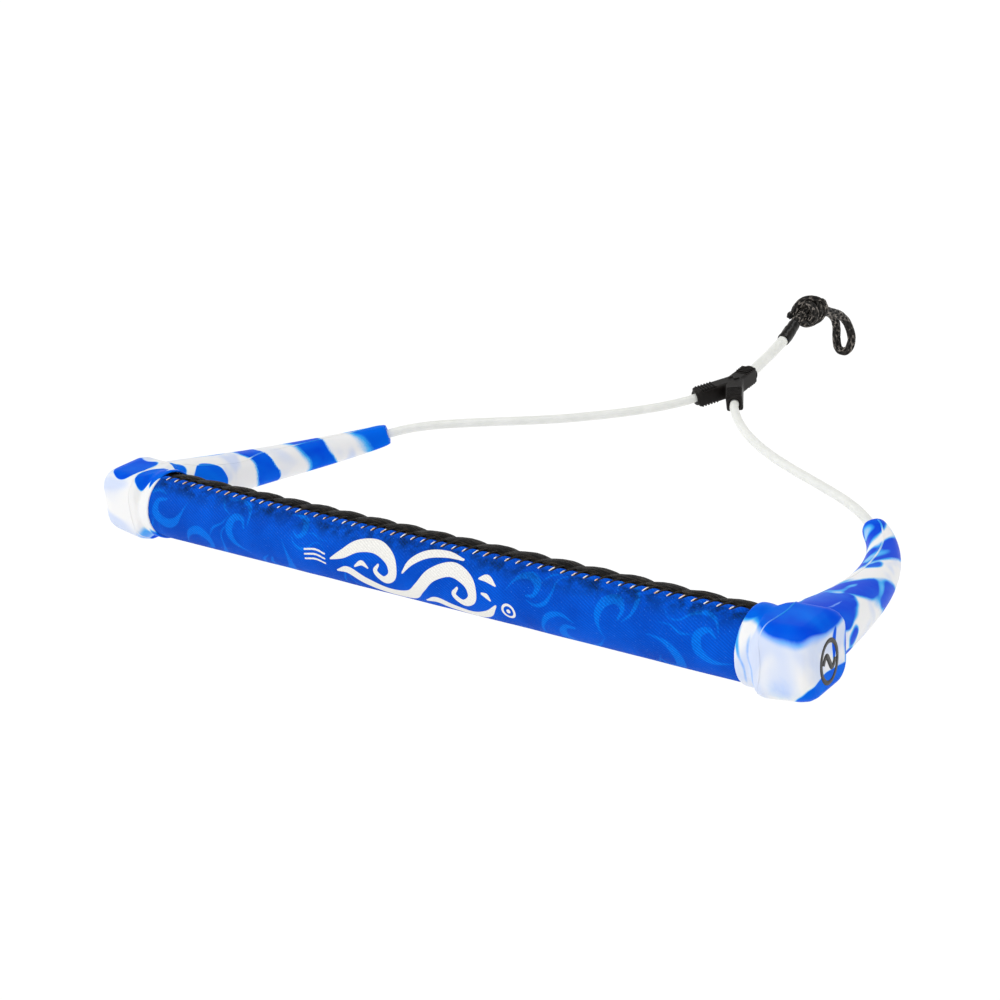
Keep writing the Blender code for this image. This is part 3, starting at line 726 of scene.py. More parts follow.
def make_loop():
    """The tow loop: out of the knot, round the bight on the surface, and back beside itself."""
    half = [(1.6, 338, 19.2), *LOOP_ROUTE]
    other = [(-x, y, z) for x, y, z in reversed(half[:-1])]
    line = smooth_line(half + other, 0.38)
    return braided_rope("tow_rope", line, LOOP_RADIUS), line


def make_knot():
    """A stopper knot: a rope that winds twice round its own standing part and crosses over it."""
    share = np.linspace(0, 1, 81)
    angle = 2 * math.pi * KNOT_TURNS * share - 0.9
    lean = 2.6 * np.sin(angle)
    wind = np.stack([5.5 * np.cos(angle), -6.2 + 12.4 * share + lean, 4.9 * np.sin(angle)], axis=1)
    rings = braided_rope("knot_turns", resample(wind + KNOT_CENTRE, 0.4), 2.25)
    over = np.array(((-5.6, -7.6, -1), (-5.2, -4.6, 3.6), (-2.6, -0.6, 6.6), (1.8, 3.4, 6.4),
                     (4.9, 6.6, 2.6), (4.4, 8.2, -1.8))) + KNOT_CENTRE
    crossing = braided_rope("knot_crossing", smooth_line(over, 0.4), 2.2)
    core = np.array(((0, -9.6, -0.6), (0.2, -4, 0), (-0.2, 3, 0), (0, 9.6, -0.4))) + KNOT_CENTRE
    heart = braided_rope("knot_heart", smooth_line(core, 0.5), 3.9, 56, 10, 7)
    return rings, crossing, heart


def make_knot_tail():
    route = ((-4.2, 330, 17.6), (-6.4, 326.4, 18.8), (-6.2, 322.8, 19.6), (-5.2, 320, 19.4))
    return braided_rope("knot_end", smooth_line(route, 0.36), 1.95)


def make_rope_neck():
    """The black rope between the sleeve and the knot, through the loop's pivot point."""
    route = ((0, 308.5, 14), (0, 313, 16), LOOP_PIVOT, (0, 324, 19.2), (0, 329, 19.2))
    neck = braided_rope("rope_neck", smooth_line(route, 0.4), 2.7, 48, 8, 6)
    dress(neck, "braid")
    bend(neck, (0, 316.6, 17.6), (0, 321.8, 19))
    return neck


def make_sleeve():
    """Heat-shrink tube: snug on the leader, with a small step where it draws in on the black rope."""
    line = smooth_line(LEADER_ROUTE, 0.5)
    line = line[line[:, 1] > 302.8]
    share = np.linspace(0, 1, len(line))
    radii = SLEEVE_RADIUS - 0.30 * smoothstep(0.55, 0.75, share) - 0.35 * smoothstep(0.93, 1, share)
    radii = radii - 0.25 * (1 - smoothstep(0, 0.05, share))
    sleeve = tube_object("shrink_tube", line, radii, 40, lambda turn, along: (
        0.06 * np.sin(3 * turn + along * 0.8) + 0.04 * np.sin(7 * turn - along * 1.7)))
    return dress(sleeve, "sleeve", "leader", ["shrink_sleeve"])


# ---- end caps

def horn_point(share):
    rest = 1 - share
    a, b, c, d = HORN_CONTROLS
    return rest ** 3 * a + 3 * rest ** 2 * share * b + 3 * rest * share ** 2 * c + share ** 3 * d


HORN_LINE = np.array([horn_point(step / HORN_STEPS) for step in range(HORN_STEPS + 1)])
HORN_ALONG = distances(HORN_LINE)
# Directions at each point of the horn's line; across points away from the bar.
HORN_AHEAD = unit(np.gradient(HORN_LINE, axis=0))
HORN_ACROSS = unit(np.cross(HORN_AHEAD, (0, 0, 1)))
HORN_UP = np.cross(HORN_ACROSS, HORN_AHEAD)


def horn_half_sizes(share):
    """Half the horn's width and half its height."""
    return [np.interp(share, HORN_SECTIONS[:, 0], HORN_SECTIONS[:, column]) for column in (1, 2)]


def horn_surface_point(share, degrees):
    """A point on the horn's surface; the angle runs from its outer side up over its top."""
    index = int(round(share * HORN_STEPS))
    width, height = horn_half_sizes(share)
    angle = math.radians(degrees)
    return (HORN_LINE[index] + HORN_ACROSS[index] * width * math.cos(angle)
            + HORN_UP[index] * height * math.sin(angle))


def horn_grid(sides=72):
    """Fine rings of the horn: a rounded square section with a soft edge along each side."""
    turn = np.linspace(0, 2 * math.pi, sides, endpoint=False)
    side_way, up_way = (np.sign(way) * np.abs(way) ** HORN_SQUARENESS for way in (np.cos(turn), np.sin(turn)))
    edge = 1 + 0.025 * np.exp(-(np.sin(turn) / 0.16) ** 2)
    rows = []
    for index in range(0, HORN_STEPS + 1, 2):
        width, height = horn_half_sizes(index / HORN_STEPS)
        rows.append(HORN_LINE[index] + HORN_ACROSS[index] * (side_way * width * edge)[:, None]
                    + HORN_UP[index] * (up_way * height)[:, None])
    return np.array(rows)


def rounded_square(x, half, below, above, corner, per_corner=14):
    """A section of the block, square to X, with round corners."""
    ring = []
    corners = ((1, above, 0), (-1, above, 90), (-1, -below, 180), (1, -below, 270))
    for sign_y, reach, start in corners:
        sign_z = math.copysign(1, reach)
        for step in range(per_corner):
            angle = math.radians(start + 90 * (step + 0.5) / per_corner)
            y = sign_y * (half - corner) + corner * math.cos(angle)
            z = reach - sign_z * corner + corner * math.sin(angle)
            ring.append((x, y, z))
    return ring


def block_grid():
    """Rings from the floor of the grip's pocket, round the collar's lip and out to the block's end."""
    pocket = (GRIP_POCKET_RADIUS,) * 4
    sections = ((GRIP_POCKET_DEPTH, *pocket), (0, *pocket), *BLOCK_SECTIONS)
    return np.array([rounded_square(CAP_INNER_X + distance, *sizes) for distance, *sizes in sections])


def boolean(thing, operation, other):
    modify(thing, "BOOLEAN", operation=operation, solver="MANIFOLD", object=other)


def make_cap_shape():
    """The +X cap: block and horn in one, hollow where the tube and the rope run, with soft edges."""
    cap = grid_object("cap_shape", block_grid())
    horn = grid_object("horn_shape", horn_grid())
    tube_line = np.array([(x, 0, 0) for x in (CAP_INNER_X + 3, 170, TUBE_POCKET_END)])
    tube_pocket = tube_object("tube_pocket", tube_line, TUBE_POCKET_RADIUS, 48)
    tail = HORN_CONTROLS[3] + (HORN_CONTROLS[3] - HORN_CONTROLS[2]) * 0.12
    rope_line = resample(np.vstack([[(175, 3, 0)], HORN_LINE, [tail]]), 2)
    channel = tube_object("rope_channel", rope_line, CHANNEL_RADIUS)
    boolean(cap, "UNION", horn)
    boolean(cap, "DIFFERENCE", tube_pocket)
    boolean(cap, "DIFFERENCE", channel)
    remesh(cap, 0.5, 7)
    made = evaluated_copy(cap, "cap_body")
    discard(cap, horn, tube_pocket, channel)
    return made


# Distances between many points are worked out in chunks, to save memory.
POINTS_AT_ONCE = 4000


def horn_place(points):
    """For each point, how far along the horn it is in millimetres, and its angle around it in degrees."""
    along = np.empty(len(points))
    degrees = np.empty(len(points))
    for chunk in np.array_split(np.arange(len(points)), math.ceil(len(points) / POINTS_AT_ONCE)):
        part = points[chunk]
        near = np.linalg.norm(part[:, None, :] - HORN_LINE[None, :, :], axis=2).argmin(axis=1)
        off = part - HORN_LINE[near]
        outward = (off * HORN_ACROSS[near]).sum(axis=1)
        upward = (off * HORN_UP[near]).sum(axis=1)
        along[chunk] = HORN_ALONG[near]
        degrees[chunk] = np.degrees(np.arctan2(upward, outward))
    return along, degrees


# Blue bands round each horn: where each starts and ends along its top, and how soft those edges are.
LEFT_BANDS = ((47, 60, 3.5, 1.6), (80, 96, 8, 2.2), (117, 150, 9, 1))
RIGHT_BANDS = (
    (27, 54, 7, 6),
    (84, 112, 6, 7),
    (121, 160, 5, 1),
)
# How many millimetres along the horn a band moves for each degree around it, from its top.
LEFT_SLANT = 0.055
RIGHT_SLANT = -0.24
# Patches: centre, half sizes, how blue they are, and how soft their edge is as a share of their size.
LEFT_PATCHES = (
    ((184, -2, 33), (23, 34, 18), 1, 0.03),
    ((166, -5, 16), (5, 9, 9.5), 1, 0.16),
    ((166, 0, -19), (7, 14, 5.5), 1, 0.3),
    ((160.2, 3, 17), (1.7, 15, 9), 1, 0.2),
    ((160.6, -9, -14), (2.6, 11, 9), 0.75, 0.4),
    ((166, -13, -12), (5, 5, 5.5), 0.45, 0.6),
    ((163, 29, -1), (9, 12, 11.5), 1, 0.05),
    ((169, 14, 12), (5, 3.4, 8), 0.9, 0.3),
    ((180, 46, 7), (5, 18, 5), 0.62, 0.5),
)
RIGHT_PATCHES = (
    ((178, 6, 27), (22, 40, 16.5), 1, 0.22),
    ((162, 4, 24), (7, 24, 12), 1, 0.25),
    ((194, -4, -17), (10.5, 26, 13), 1, 0.08),
    ((162.4, -15, 3), (0.8, 5, 13), 0.5, 0.8),
    ((166.4, -15, -3), (0.8, 5, 12), 0.42, 0.8),
    ((178, -2, -19.5), (16, 20, 5), 0.6, 0.5),
    ((193, 3, 8), (2.4, 1.5, 9), 0.8, 0.4),
    ((193, 14, 0), (4, 4, 14), 0.9, 0.4),
    ((192, 27, -6), (6, 7, 8), 0.85, 0.3),
    ((178, 24, 10), (14, 21, 11), 1, 0.16),
    ((165, 88, -2), (3, 5, 6), 0.8, 0.5),
    ((180, -17, -8), (9, 5, 9), 0.24, 0.8),
    ((166, 60, -3), (5, 9, 12), 0.45, 0.6),
    ((181, 24, -10), (6, 9, 6), 0.9, 0.25),
)
# How much paler the right cap's blue is in its streaks, which run along the horn.
STREAK_DEPTH = 0.64
# Thin pale veins through the blue of the right cap: how much paler, and their centres and half sizes.
VEIN_DEPTH = 0.5
RIGHT_VEINS = (
    ((180, 26, 12), (1, 14, 8)),
    ((187.5, 18, 6), (0.8, 9, 10)),
    ((184, 46, -2), (2.2, 22, 2)),
)


def band_value(coordinate, bands):
    value = np.zeros(len(coordinate))
    for start, end, soft_start, soft_end in bands:
        rise = smoothstep(start - soft_start, start + soft_start, coordinate)
        fall = 1 - smoothstep(end - soft_end, end + soft_end, coordinate)
        value = np.maximum(value, rise * fall)
    return value


# For each side: a seed for its noise, its bands, their slant, its patches and its veins.
MARBLE = {
    -1: (3, LEFT_BANDS, LEFT_SLANT, LEFT_PATCHES, ()),
    1: (8, RIGHT_BANDS, RIGHT_SLANT, RIGHT_PATCHES, RIGHT_VEINS),
}


def noise_vectors(points, scale, seed):
    return np.stack([noise_field(points, scale, seed + k) for k in range(3)], axis=1)


def share_out(points, centre, half):
    """How far out of an ellipsoid each point is, as a share of the way from its centre to its skin."""
    return np.linalg.norm((points - np.array(centre)) / np.array(half), axis=1)


def marble_values(points, side):
    """How blue the moulding is at each of a cap's points, from 0 to 1; points are mirrored to +X."""
    seed, bands, slant, patches, veins = MARBLE[side]
    warp = noise_vectors(points, 14, seed) * 3.4 + noise_vectors(points, 5, seed + 20) * 0.35
    warped = points + warp
    along, degrees = horn_place(points)
    around = np.where(degrees < -90, degrees + 360, degrees) - 90.0
    value = band_value(along - slant * around + warp[:, 0], bands) * smoothstep(17, 26, points[:, 1])
    for centre, half, strength, soft in patches:
        inside = 1 - smoothstep(1 - soft, 1 + soft, share_out(warped, centre, half))
        value = np.maximum(value, inside * strength)
    if side > 0:
        streaks = noise_field(warped * np.array((1, 0.3, 1)), 6.5, 31)
        value *= 1 - STREAK_DEPTH * smoothstep(-0.1, 0.6, streaks) * smoothstep(12, 40, points[:, 1])
    for centre, half in veins:
        value *= 1 - VEIN_DEPTH * (1 - smoothstep(0.2, 1.2, share_out(warped, centre, half)))
    return value


def cap_ridge_route():
    """The parting line: round the block's front, up over it, along the horn's top and back below it."""
    front = [(168.5, -2, -16.6), (168.6, -8, -15.5), (169.5, -13.5, -11), (171, -16.6, -4),
             (171.5, -16.8, 3), (171.2, -15, 9.5), (171.5, -11, 14), (172.4, -4, 16.3),
             (172.6, 5, 16.3)]
    top = [(0.1, 112), (0.2, 125), (0.3, 132), (0.4, 134), (0.5, 114), (0.65, 105), (0.8, 91),
           (0.93, 80), (0.985, 78)]
    below = [(0.985, 262), (0.85, 266), (0.7, 268), (0.5, 270), (0.3, 272), (0.15, 275)]
    route = front + [tuple(horn_surface_point(s, a)) for s, a in top]
    route += [tuple(horn_surface_point(s, a)) for s, a in below] + [(170, 4, -16.4), front[0]]
    return route


def make_ridge(shape):
    """A thin raised bead laid on the cap's surface."""
    points = bar_points(shape)
    tree = BVHTree.FromPolygons([Vector(p) for p in points], [tuple(p.vertices) for p in shape.data.polygons])
    line = []
    for point in smooth_line(cap_ridge_route(), 1.2):
        place, normal, _, _ = tree.find_nearest(Vector(point))
        line.append(np.array(place) - np.array(normal) * 0.12)
    line = np.array(line)
    for _ in range(2):
        line[1:-1] = (line[:-2] + 2 * line[1:-1] + line[2:]) / 4
    return tube_grid(line, 0.42, 10)


def make_caps():
    shape = make_cap_shape()
    points = bar_points(shape)
    faces = [tuple(p.vertices) for p in shape.data.polygons]
    ridge = make_ridge(shape)
    discard(shape)
    for side, label in ((-1, "left"), (1, "right")):
        own_faces = faces if side > 0 else [tuple(reversed(f)) for f in faces]
        cap = new_object(f"cap_{label}", mirrored(points, side), own_faces)
        set_attribute(cap, "marble", marble_values(points, side))
        dress(cap, "marbled", "handle", [f"end_cap_{label}"])
        bead = grid_object(f"parting_ridge_{label}", mirrored(ridge, side))
        set_attribute(bead, "marble", marble_values(ridge.reshape(-1, 3), side) * 0.55)
        dress(bead, "marbled", "handle")
        make_badge(side, label)


def make_badge(side, label):
    """A plain printed mark on the cap's end: an open ring round a short wave."""
    x = CAP_INNER_X + BLOCK_SECTIONS[-1][0] + 0.02
    angle = np.linspace(0, 2 * math.pi, 41)
    ring = np.stack([np.full(41, x), 6.2 * np.cos(angle) - 0.8, 8.6 * np.sin(angle) + 0.4], axis=1)
    share = np.linspace(0, 1, 25)
    wave = np.stack([np.full(25, x), 9.2 * share - 5.4, 3.0 * np.sin(2 * math.pi * share) + 0.4], axis=1)
    bands = [grid_object("badge_part", flat_band(mirrored(line, side), width))
             for line, width in ((ring, 0.95), (wave, 1.15))]
    dress(join(f"end_mark_{label}", bands), "badge", "handle")


def flat_band(line, width):
    """A thin band, square to X, along a line that lies in one plane."""
    across = np.cross(unit(np.gradient(line, axis=0)), (1, 0, 0))
    thick = np.array((0.06, 0, 0))
    return np.stack([line + across * width - thick, line + across * width + thick,
                     line - across * width + thick, line - across * width - thick], axis=1)


# ---- grip

DEG_TO_ARC = math.radians(1) * COVER_RADIUS
# How far each stitch leans along the bar for each millimetre down from its seam.
STITCH_LEAN = 0.75
# How far from the bar's axis each stitch starts.
STITCH_BASE = 15.15
THREAD_RADIUS = 0.62
FILAMENT_RADIUS = 0.31
# The angle between each seam and the cover's edge, and between it and the strip's.
COVER_GAP_DEG = 2.4
STRIP_GAP_DEG = 1.0
# The strip lies on the foam, whose own radius is 14.2.
STRIP_RADIUS = 14.35
STRIP_LOWEST = 14.3
STRIP_THICKNESS = 0.5
LOBE_HEIGHT = 1.2
FIBRE_HEIGHT = 0.16

# The white motif: brush strokes of a breaking wave, as (place along the bar, place around it, half width).
WAVE_STROKES = (
    ((-45, 1, 0.4), (-38, 4.4, 1.9), (-30, 9.2, 2.8), (-20, 10.6, 3.1), (-11.5, 6.6, 2.7),
     (-9.6, 0.6, 2.2), (-14.4, -3, 1.7), (-19.2, 0, 1.2), (-17.6, 3.2, 0.6)),
    ((-42, -4, 0.4), (-35, -2.6, 1.8), (-26, -6.8, 2.5), (-14, -10.4, 2.8), (-2, -8.4, 2.7),
     (5, -2.4, 2.5), (12, 4.6, 2.8), (22, 8.6, 3.1), (31.4, 5.2, 2.7), (33.6, -1, 2.1),
     (28.6, -4.8, 1.6), (23.8, -1.8, 1.2), (25.8, 1.6, 0.6)),
    ((-4, 2.4, 0.4), (0.4, 8, 1.5), (7.6, 12.6, 1.9), (17, 14.4, 1.6), (26, 13.6, 0.5)),
    ((6, -9.6, 0.4), (13, -7.4, 1.8), (21, -10.2, 2.4), (31, -11.8, 2.4), (40, -8, 1.8),
     (45.6, -2.4, 0.5)),
    ((36.6, 7.6, 0.4), (40.6, 8.4, 1.5), (45.4, 6.2, 0.4)),
    ((38.8, 1.8, 0.5), (41.2, 1.2, 1), (43.2, -0.4, 0.4)),
    ((-31, 0.2, 0.4), (-27, 2.4, 1.1), (-23.4, 0.8, 0.4)),
)
TICK_STROKES = tuple(((-60.5, y, 0.4), (-54, y + 1, 0.45), (-48.5, y, 0.4)) for y in (2.4, 0.2, -2))
RING_CENTRE = (52, -3.4)
RING_RADIUS = 3.0

# One curl of the pale print, drawn about its own middle; copies are turned, scaled and spread about.
CURL_STROKES = (
    ((-16, 1, 0.2), (-11, 5.6, 0.8), (-5, 8.4, 1.9), (2, 7.6, 2.7), (6.2, 2, 2.4), (3.4, -3.6, 1.3),
     (-2, -3.4, 0.6)),
    ((-2, -6, 0.3), (4, -9.4, 0.9), (11, -8.4, 1.4), (16, -3, 0.8), (18.6, 3.4, 0.5),
     (24, 6.6, 0.4), (30, 5, 0.2)),
    ((9, 4, 0.2), (14, 7.6, 0.7), (21, 8.6, 0.5), (27, 12, 0.2)),
)
# Each copy's place along the bar and around it, its turn in degrees and its scale.
CURL_PLACES = (
    (-150, 6, 200, 0.95), (-126, -8, 20, 0.85), (-101, 5, 120, 0.80), (-80, -9, 250, 0.9),
    (-66, 10, 330, 0.62), (62, 8, 15, 0.7), (84, -7, 190, 0.95), (104, 7, 75, 0.8),
    (128, -9, 310, 0.85), (148, 5, 150, 0.8), (-40, -22, 60, 0.8), (10, -24, 210, 0.9),
    (58, -25, 120, 0.8), (110, -28, 30, 0.9), (-100, -27, 280, 0.9), (-146, -26, 100, 0.8),
    (-120, -42, 0, 0.8), (-60, -41, 180, 0.9), (0, -42, 90, 0.8), (60, -43, 300, 0.9),
    (125, -43, 230, 0.8),
)


def stroke_samples(strokes):
    """Closely spaced (along, around, half width) samples of brush strokes."""
    return np.vstack([smooth_line(stroke, 0.45, dims=2) for stroke in strokes])


def curl_strokes():
    strokes = []
    for x, arc, turn, scale in CURL_PLACES:
        c = math.cos(math.radians(turn)) * scale
        s = math.sin(math.radians(turn)) * scale
        for stroke in CURL_STROKES:
            strokes.append([(x + c * u - s * v, arc + s * u + c * v, half * scale) for u, v, half in stroke])
    return strokes


# Strokes further than this from a point don't reach it, and a point that none reaches is far outside.
STROKE_REACH = 6.0
FAR_OUTSIDE = -50.0
STROKE_CHUNKS = 60


def inside_by(flat, samples):
    """How far inside the strokes each flat point is, in millimetres; negative outside them."""
    best = np.full(len(flat), FAR_OUTSIDE)
    order = np.argsort(flat[:, 0], kind="stable")
    for chunk in np.array_split(order, STROKE_CHUNKS):
        part = flat[chunk]
        low = part[:, 0].min() - STROKE_REACH
        high = part[:, 0].max() + STROKE_REACH
        near = samples[(samples[:, 0] > low) & (samples[:, 0] < high)]
        if len(near):
            gaps = np.hypot(part[:, None, 0] - near[None, :, 0], part[:, None, 1] - near[None, :, 1])
            best[chunk] = (near[None, :, 2] - gaps).max(axis=1)
    return best


def ring_inside(flat):
    gap = np.hypot(flat[:, 0] - RING_CENTRE[0], flat[:, 1] - RING_CENTRE[1])
    return np.maximum(0.55 - np.abs(gap - RING_RADIUS), 1 - gap)


def wrap_points(x, degrees, radius):
    angle = np.radians(degrees)
    return np.stack([x, -radius * np.cos(angle), radius * np.sin(angle)], axis=-1)


def laid_flat(x, arc):
    """Points of the grip's skin as if it were unrolled, in millimetres."""
    return np.stack([x, arc, np.zeros(x.shape)], axis=-1)


def stitch_pitch():
    return 2 * GRIP_SHOWN / (LOBE_COUNT * STITCHES_PER_LOBE)


def front_seam_shift(x):
    """How much higher than its mean angle the front seam lies, in degrees; it climbs to each end."""
    return 1.5 + 8 * (np.asarray(x) / GRIP_SHOWN) ** 2


def skin_grid(columns, rows):
    """For each point of a skin on the grip, its place along the bar and its share of the way round."""
    return np.meshgrid(np.linspace(-GRIP_HALF, GRIP_HALF, columns), np.linspace(0, 1, rows), indexing="ij")


def make_cover():
    """The printed cover: pulled in at each stitch of both seams, and slightly uneven over the foam."""
    x, across = skin_grid(620, 150)
    low = SEAM_BACK_DEG + COVER_GAP_DEG
    high = SEAM_FRONT_DEG + 360 - COVER_GAP_DEG + front_seam_shift(x)
    degrees = low + (high - low) * across
    arc = (degrees - 360) * DEG_TO_ARC
    edge = np.minimum(high - degrees, degrees - low) * DEG_TO_ARC
    phase = 2 * math.pi * (x + GRIP_SHOWN + STITCH_LEAN * edge) / stitch_pitch()
    pull = (0.5 + 0.5 * np.cos(phase)) ** 1.6
    pucker = np.exp(-((edge - 1.4) / 1.5) ** 2)
    fold = np.exp(-edge / 4.5)
    flat = laid_flat(x, arc)
    uneven = noise_field(flat, 16, 5)
    radius = COVER_RADIUS - 0.12 + 0.12 * uneven + (0.55 - 1.25 * pull) * pucker - 0.16 * fold * uneven
    radius = radius - 0.5 * np.exp(-edge / 0.5)
    cover = grid_object("cover", wrap_points(x, degrees, radius), closed=False, capped=False)
    set_attribute(cover, "cloth", flat * MM, "FLOAT_VECTOR")
    places = flat.reshape(-1, 3)
    strokes = stroke_samples(WAVE_STROKES + TICK_STROKES)
    set_attribute(cover, "ink", np.maximum(inside_by(places, strokes), ring_inside(places)))
    set_attribute(cover, "swirl", inside_by(places, stroke_samples(curl_strokes())))
    patches = 0.5 + 0.5 * noise_field(flat, 9, 12)
    shade = (smoothstep(1.8, 3.2, edge) - smoothstep(3.6, 13, edge)) * (0.35 + 1.25 * patches)
    shade = np.maximum(shade, pull * (1 - smoothstep(1.5, 3.5, edge)))
    set_attribute(cover, "shade", np.clip(shade, 0, 1))
    # Painted shade: this darkens the cloth towards the grip's bottom.
    set_attribute(cover, "under", smoothstep(-9, -19, arc))
    solidify(cover, COVER_THICKNESS - 0.1)
    dress(cover, "fabric", "handle", ["grip_cover"])


def make_strip():
    """The black strip: lobes like overlapping leaves, each rounded where it lies over the next one."""
    x, across = skin_grid(1150, 76)
    low = SEAM_FRONT_DEG + STRIP_GAP_DEG + front_seam_shift(x)
    high = SEAM_BACK_DEG - STRIP_GAP_DEG
    degrees = low + (high - low) * across
    pitch = 2 * GRIP_SHOWN / LOBE_COUNT
    bow = 3.4 * (1.6 * across - 0.9) ** 2 + 0.8 * noise_field(laid_flat(x / pitch, across * 2), 0.8, 6)
    share = np.mod((x + GRIP_SHOWN + bow) / pitch, 1)
    rise = np.sin(np.pi * share ** 1.3) ** 0.7
    flat = laid_flat(x, degrees * DEG_TO_ARC)
    fibre = noise_field(flat * np.array((0.12, 1, 1)), 0.55, 4)
    edge = 1 - np.exp(-across / 0.05) * 0.8 - np.exp(-(1 - across) / 0.05) * 0.8
    radius = STRIP_RADIUS + (LOBE_HEIGHT * rise + FIBRE_HEIGHT * fibre) * edge
    radius = np.maximum(radius + 0.1 * noise_field(flat, 6, 9), STRIP_LOWEST)
    strip = grid_object("edge_strip", wrap_points(x, degrees, radius), closed=False, capped=False)
    strip.data.flip_normals()
    set_attribute(strip, "cloth", flat * MM, "FLOAT_VECTOR")
    solidify(strip, STRIP_THICKNESS)
    dress(strip, "webbing", "handle", ["grip_back_strip"])


def make_stitches(name, seam, towards_cover, replaced):
    """Whip stitches over one seam: black thread in each hollow, with a clear filament beside it whose pale
    colour is a painted glint.
    """
    threads = []
    filaments_painted_glint = []
    steps = np.linspace(0, 1, 11)
    for index in range(1, LOBE_COUNT * STITCHES_PER_LOBE):
        x = -GRIP_SHOWN + index * stitch_pitch()
        down = -2.6 + 5.6 * steps
        jitter = noise.noise(Vector((x, seam, 0.5)))
        degrees = seam + towards_cover * (COVER_GAP_DEG + down / DEG_TO_ARC)
        if towards_cover < 0:
            degrees = degrees + front_seam_shift(x)
        lift = STITCH_BASE + 0.45 * np.sin(np.pi * steps) - 0.42 * steps
        line = wrap_points(x - STITCH_LEAN * down + 0.5 * jitter, degrees, lift)
        threads.append(tube_object("thread", line, rounded_ends(line, THREAD_RADIUS + 0.15 * jitter), 8))
        first = 6 + int(round(1.6 * jitter))
        # The filament's pale colour stands in for a glint: a painted highlight beside each thread.
        near = wrap_points(x - STITCH_LEAN * down[first:] - 0.7, degrees[first:], lift[first:] + 0.5)
        filaments_painted_glint.append(tube_object("filament_painted_glint", near, rounded_ends(near, FILAMENT_RADIUS), 8))
    dress(join(f"{name}_threads", threads), "thread", "handle", [replaced])
    dress(join(f"{name}_filaments", filaments_painted_glint), "filament_painted_glint", "handle")


# ---- Y moulding

def make_yoke():
    """The Y moulding with softened edges, a lip round each leg's mouth and a plain raised boss."""
    rough = add_object("yoke_shape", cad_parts["yoke_body"].data.copy())
    remesh(rough, 0.17, 3)
    yoke = evaluated_copy(rough, "y_moulding")
    discard(rough)
    dress(yoke, "plastic", "bridle", ["yoke_body"])
    rings = [ring_round(f"mouth_{index}", *mouth) for index, mouth in enumerate(YOKE_MOUTHS)]
    boss = tube_object("boss", smooth_line(BOSS_LINE, 0.3), 0.42, 12)
    trim = dress(join("y_trim", rings + [boss] + yoke_ribs()), "plastic", "bridle")
    return yoke, trim


def yoke_ribs():
    """Round-topped ribs across each arm of the Y, on its top and its underside."""
    pitch = math.radians(YOKE_PITCH_DEG)
    ahead = np.array((0, math.cos(pitch), math.sin(pitch)))
    up = np.array((0, -math.sin(pitch), math.cos(pitch)))
    right = np.array((1, 0, 0))
    ribs = []
    for turn, length, count in YOKE_ARMS:
        along = ahead * math.cos(math.radians(turn)) + right * math.sin(math.radians(turn))
        across = ahead * math.sin(math.radians(turn)) - right * math.cos(math.radians(turn))
        for index, side in ((i, s) for i in range(count) for s in (-1, 1)):
            middle = YOKE_CENTRE + along * (length - RIB_START - index * RIB_PITCH) + up * side * YOKE_HALF
            ends = [middle + across * reach for reach in (-YOKE_HALF + 0.5, YOKE_HALF - 0.5)]
            line = resample(np.array(ends), 0.3)
            ribs.append(tube_object("rib", line, rounded_ends(line, RIB_RADIUS), 10))
    return ribs


def ring_round(name, centre, ahead, radius, thick):
    """A torus round a rope's mouth."""
    ahead = unit(np.array(ahead))
    across = unit(np.cross(ahead, (0, 0, 1)))
    up = np.cross(across, ahead)
    turns = np.linspace(0, 2 * math.pi, 49)[:, None]
    line = np.array(centre) + radius * (across * np.cos(turns) + up * np.sin(turns))
    return tube_object(name, line, thick, 12)


def dress_cad_nodes():
    """Materials for the CAD parts that stay as they are."""
    looks = {
        "aluminium": ("bar_tube", "rope_stop_left", "rope_stop_right"),
        "float_foam": ("float_core",),
        "grey": ("end_plug_left", "end_plug_right"),
        "eva_foam": ("grip_foam",),
        "coated": ("rope_root_left", "rope_root_right"),
        "core": ("leader_core",),
    }
    for look, nodes in looks.items():
        for node in nodes:
            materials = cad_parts[node].data.materials
            materials.clear()
            materials.append(MATERIALS[look])


# ---- stage

# Metres: half of the floor's width, and how far the floor is below the handle.
FLOOR_HALF = 40.0
FLOOR_DROP = 0.3
ROOM_LIGHT = 1.02
ROOM_LIGHT_ABOVE = 0.45
# The room dims between these heights on a unit sphere.
DIM_FROM = 0.12
DIM_TO = 0.7
# Each light's name, the way it shines, its strength, and its width in degrees.
SUNS = (
    ("key", (0.25, 0.55, -1), 0.85, 40),
    ("top", (-0.25, -0.3, -1), 0.55, 30),
    ("left", (0.8, 0.45, -0.35), 0.55, 40),
    ("right", (-0.8, 0.5, -0.5), 0.12, 40),
)


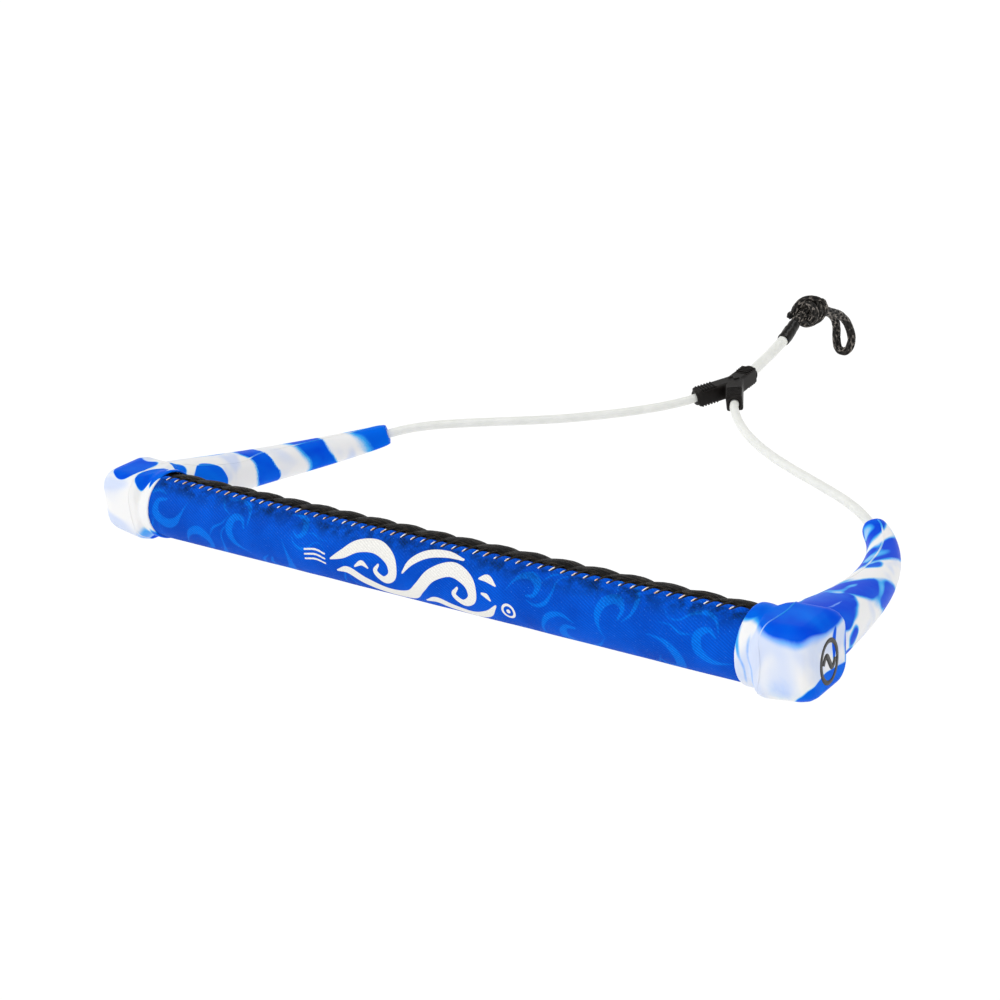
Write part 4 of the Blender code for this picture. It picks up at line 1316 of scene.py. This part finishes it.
def soft_sun(name, towards, strength, spread):
    """Light from one part of the sky, the same everywhere; spread is that part's width in degrees."""
    light = bpy.data.lights.new(name, "SUN")
    light.energy = strength
    light.angle = math.radians(spread)
    add_object(name, light).rotation_euler = Vector(towards).to_track_quat("-Z", "Y").to_euler()


def make_white_room():
    """A world that is white all round and dimmer straight up, so that the tops of things aren't burnt out."""
    room = NodeTree(bpy.data.worlds.new("white_room"))
    height = room.node("SeparateXYZ", "Z", {0: room.node("TexCoord", "Generated", {})})
    values = dict(enumerate((height, DIM_FROM, DIM_TO, ROOM_LIGHT, ROOM_LIGHT_ABOVE)))
    background = room.nodes["Background"].inputs
    room.put(background["Strength"], room.node("MapRange", 0, values, interpolation_type="SMOOTHSTEP"))
    room.put(background["Color"], (1, 1, 1))
    bpy.context.scene.world = room.owner


def make_stage():
    """The handle is held above a plain floor, high enough for its ropes to hang down."""
    make_white_room()
    half = FLOOR_HALF
    floor = add_mesh("floor", [(-half, -half, 0), (half, -half, 0), (half, half, 0), (-half, half, 0)],
                     [(0, 1, 2, 3)])
    floor.data.materials.append(MATERIALS["floor"])
    floor.location = (0, 0, -FLOOR_DROP)
    bpy.context.scene.view_settings.view_transform = "Standard"
    for sun in SUNS:
        soft_sun(*sun)


# ---- making it all

def state_cord(rope, line):
    """Works out a rope's line in world metres; the rope leaves its root at the line's first point."""
    path = to_world(line).tolist()


def make_ropes():
    legs = make_legs()
    leader, leader_line = make_leader_rope()
    neck = make_rope_neck()
    sleeve = make_sleeve()
    loop, loop_line = make_loop()
    rings, crossing, heart = make_knot()
    tail = make_knot_tail()
    tow = ((loop, ["tow_loop"]), (rings, ["tow_knot"]), (crossing, []), (heart, []), (tail, ["knot_tail"]))
    for piece, replaced in tow:
        dress(piece, "braid", "tow", replaced)
    yoke, trim = make_yoke()
    for leg, line in legs:
        state_cord(leg, line)
    state_cord(leader, leader_line)
    state_cord(loop, loop_line)


make_camera()
make_ropes()
make_caps()
make_cover()
make_strip()
make_stitches("front_seam", SEAM_FRONT_DEG, -1, "seam_cord_front")
make_stitches("back_seam", SEAM_BACK_DEG, 1, "seam_cord_back")
dress_cad_nodes()
make_stage()
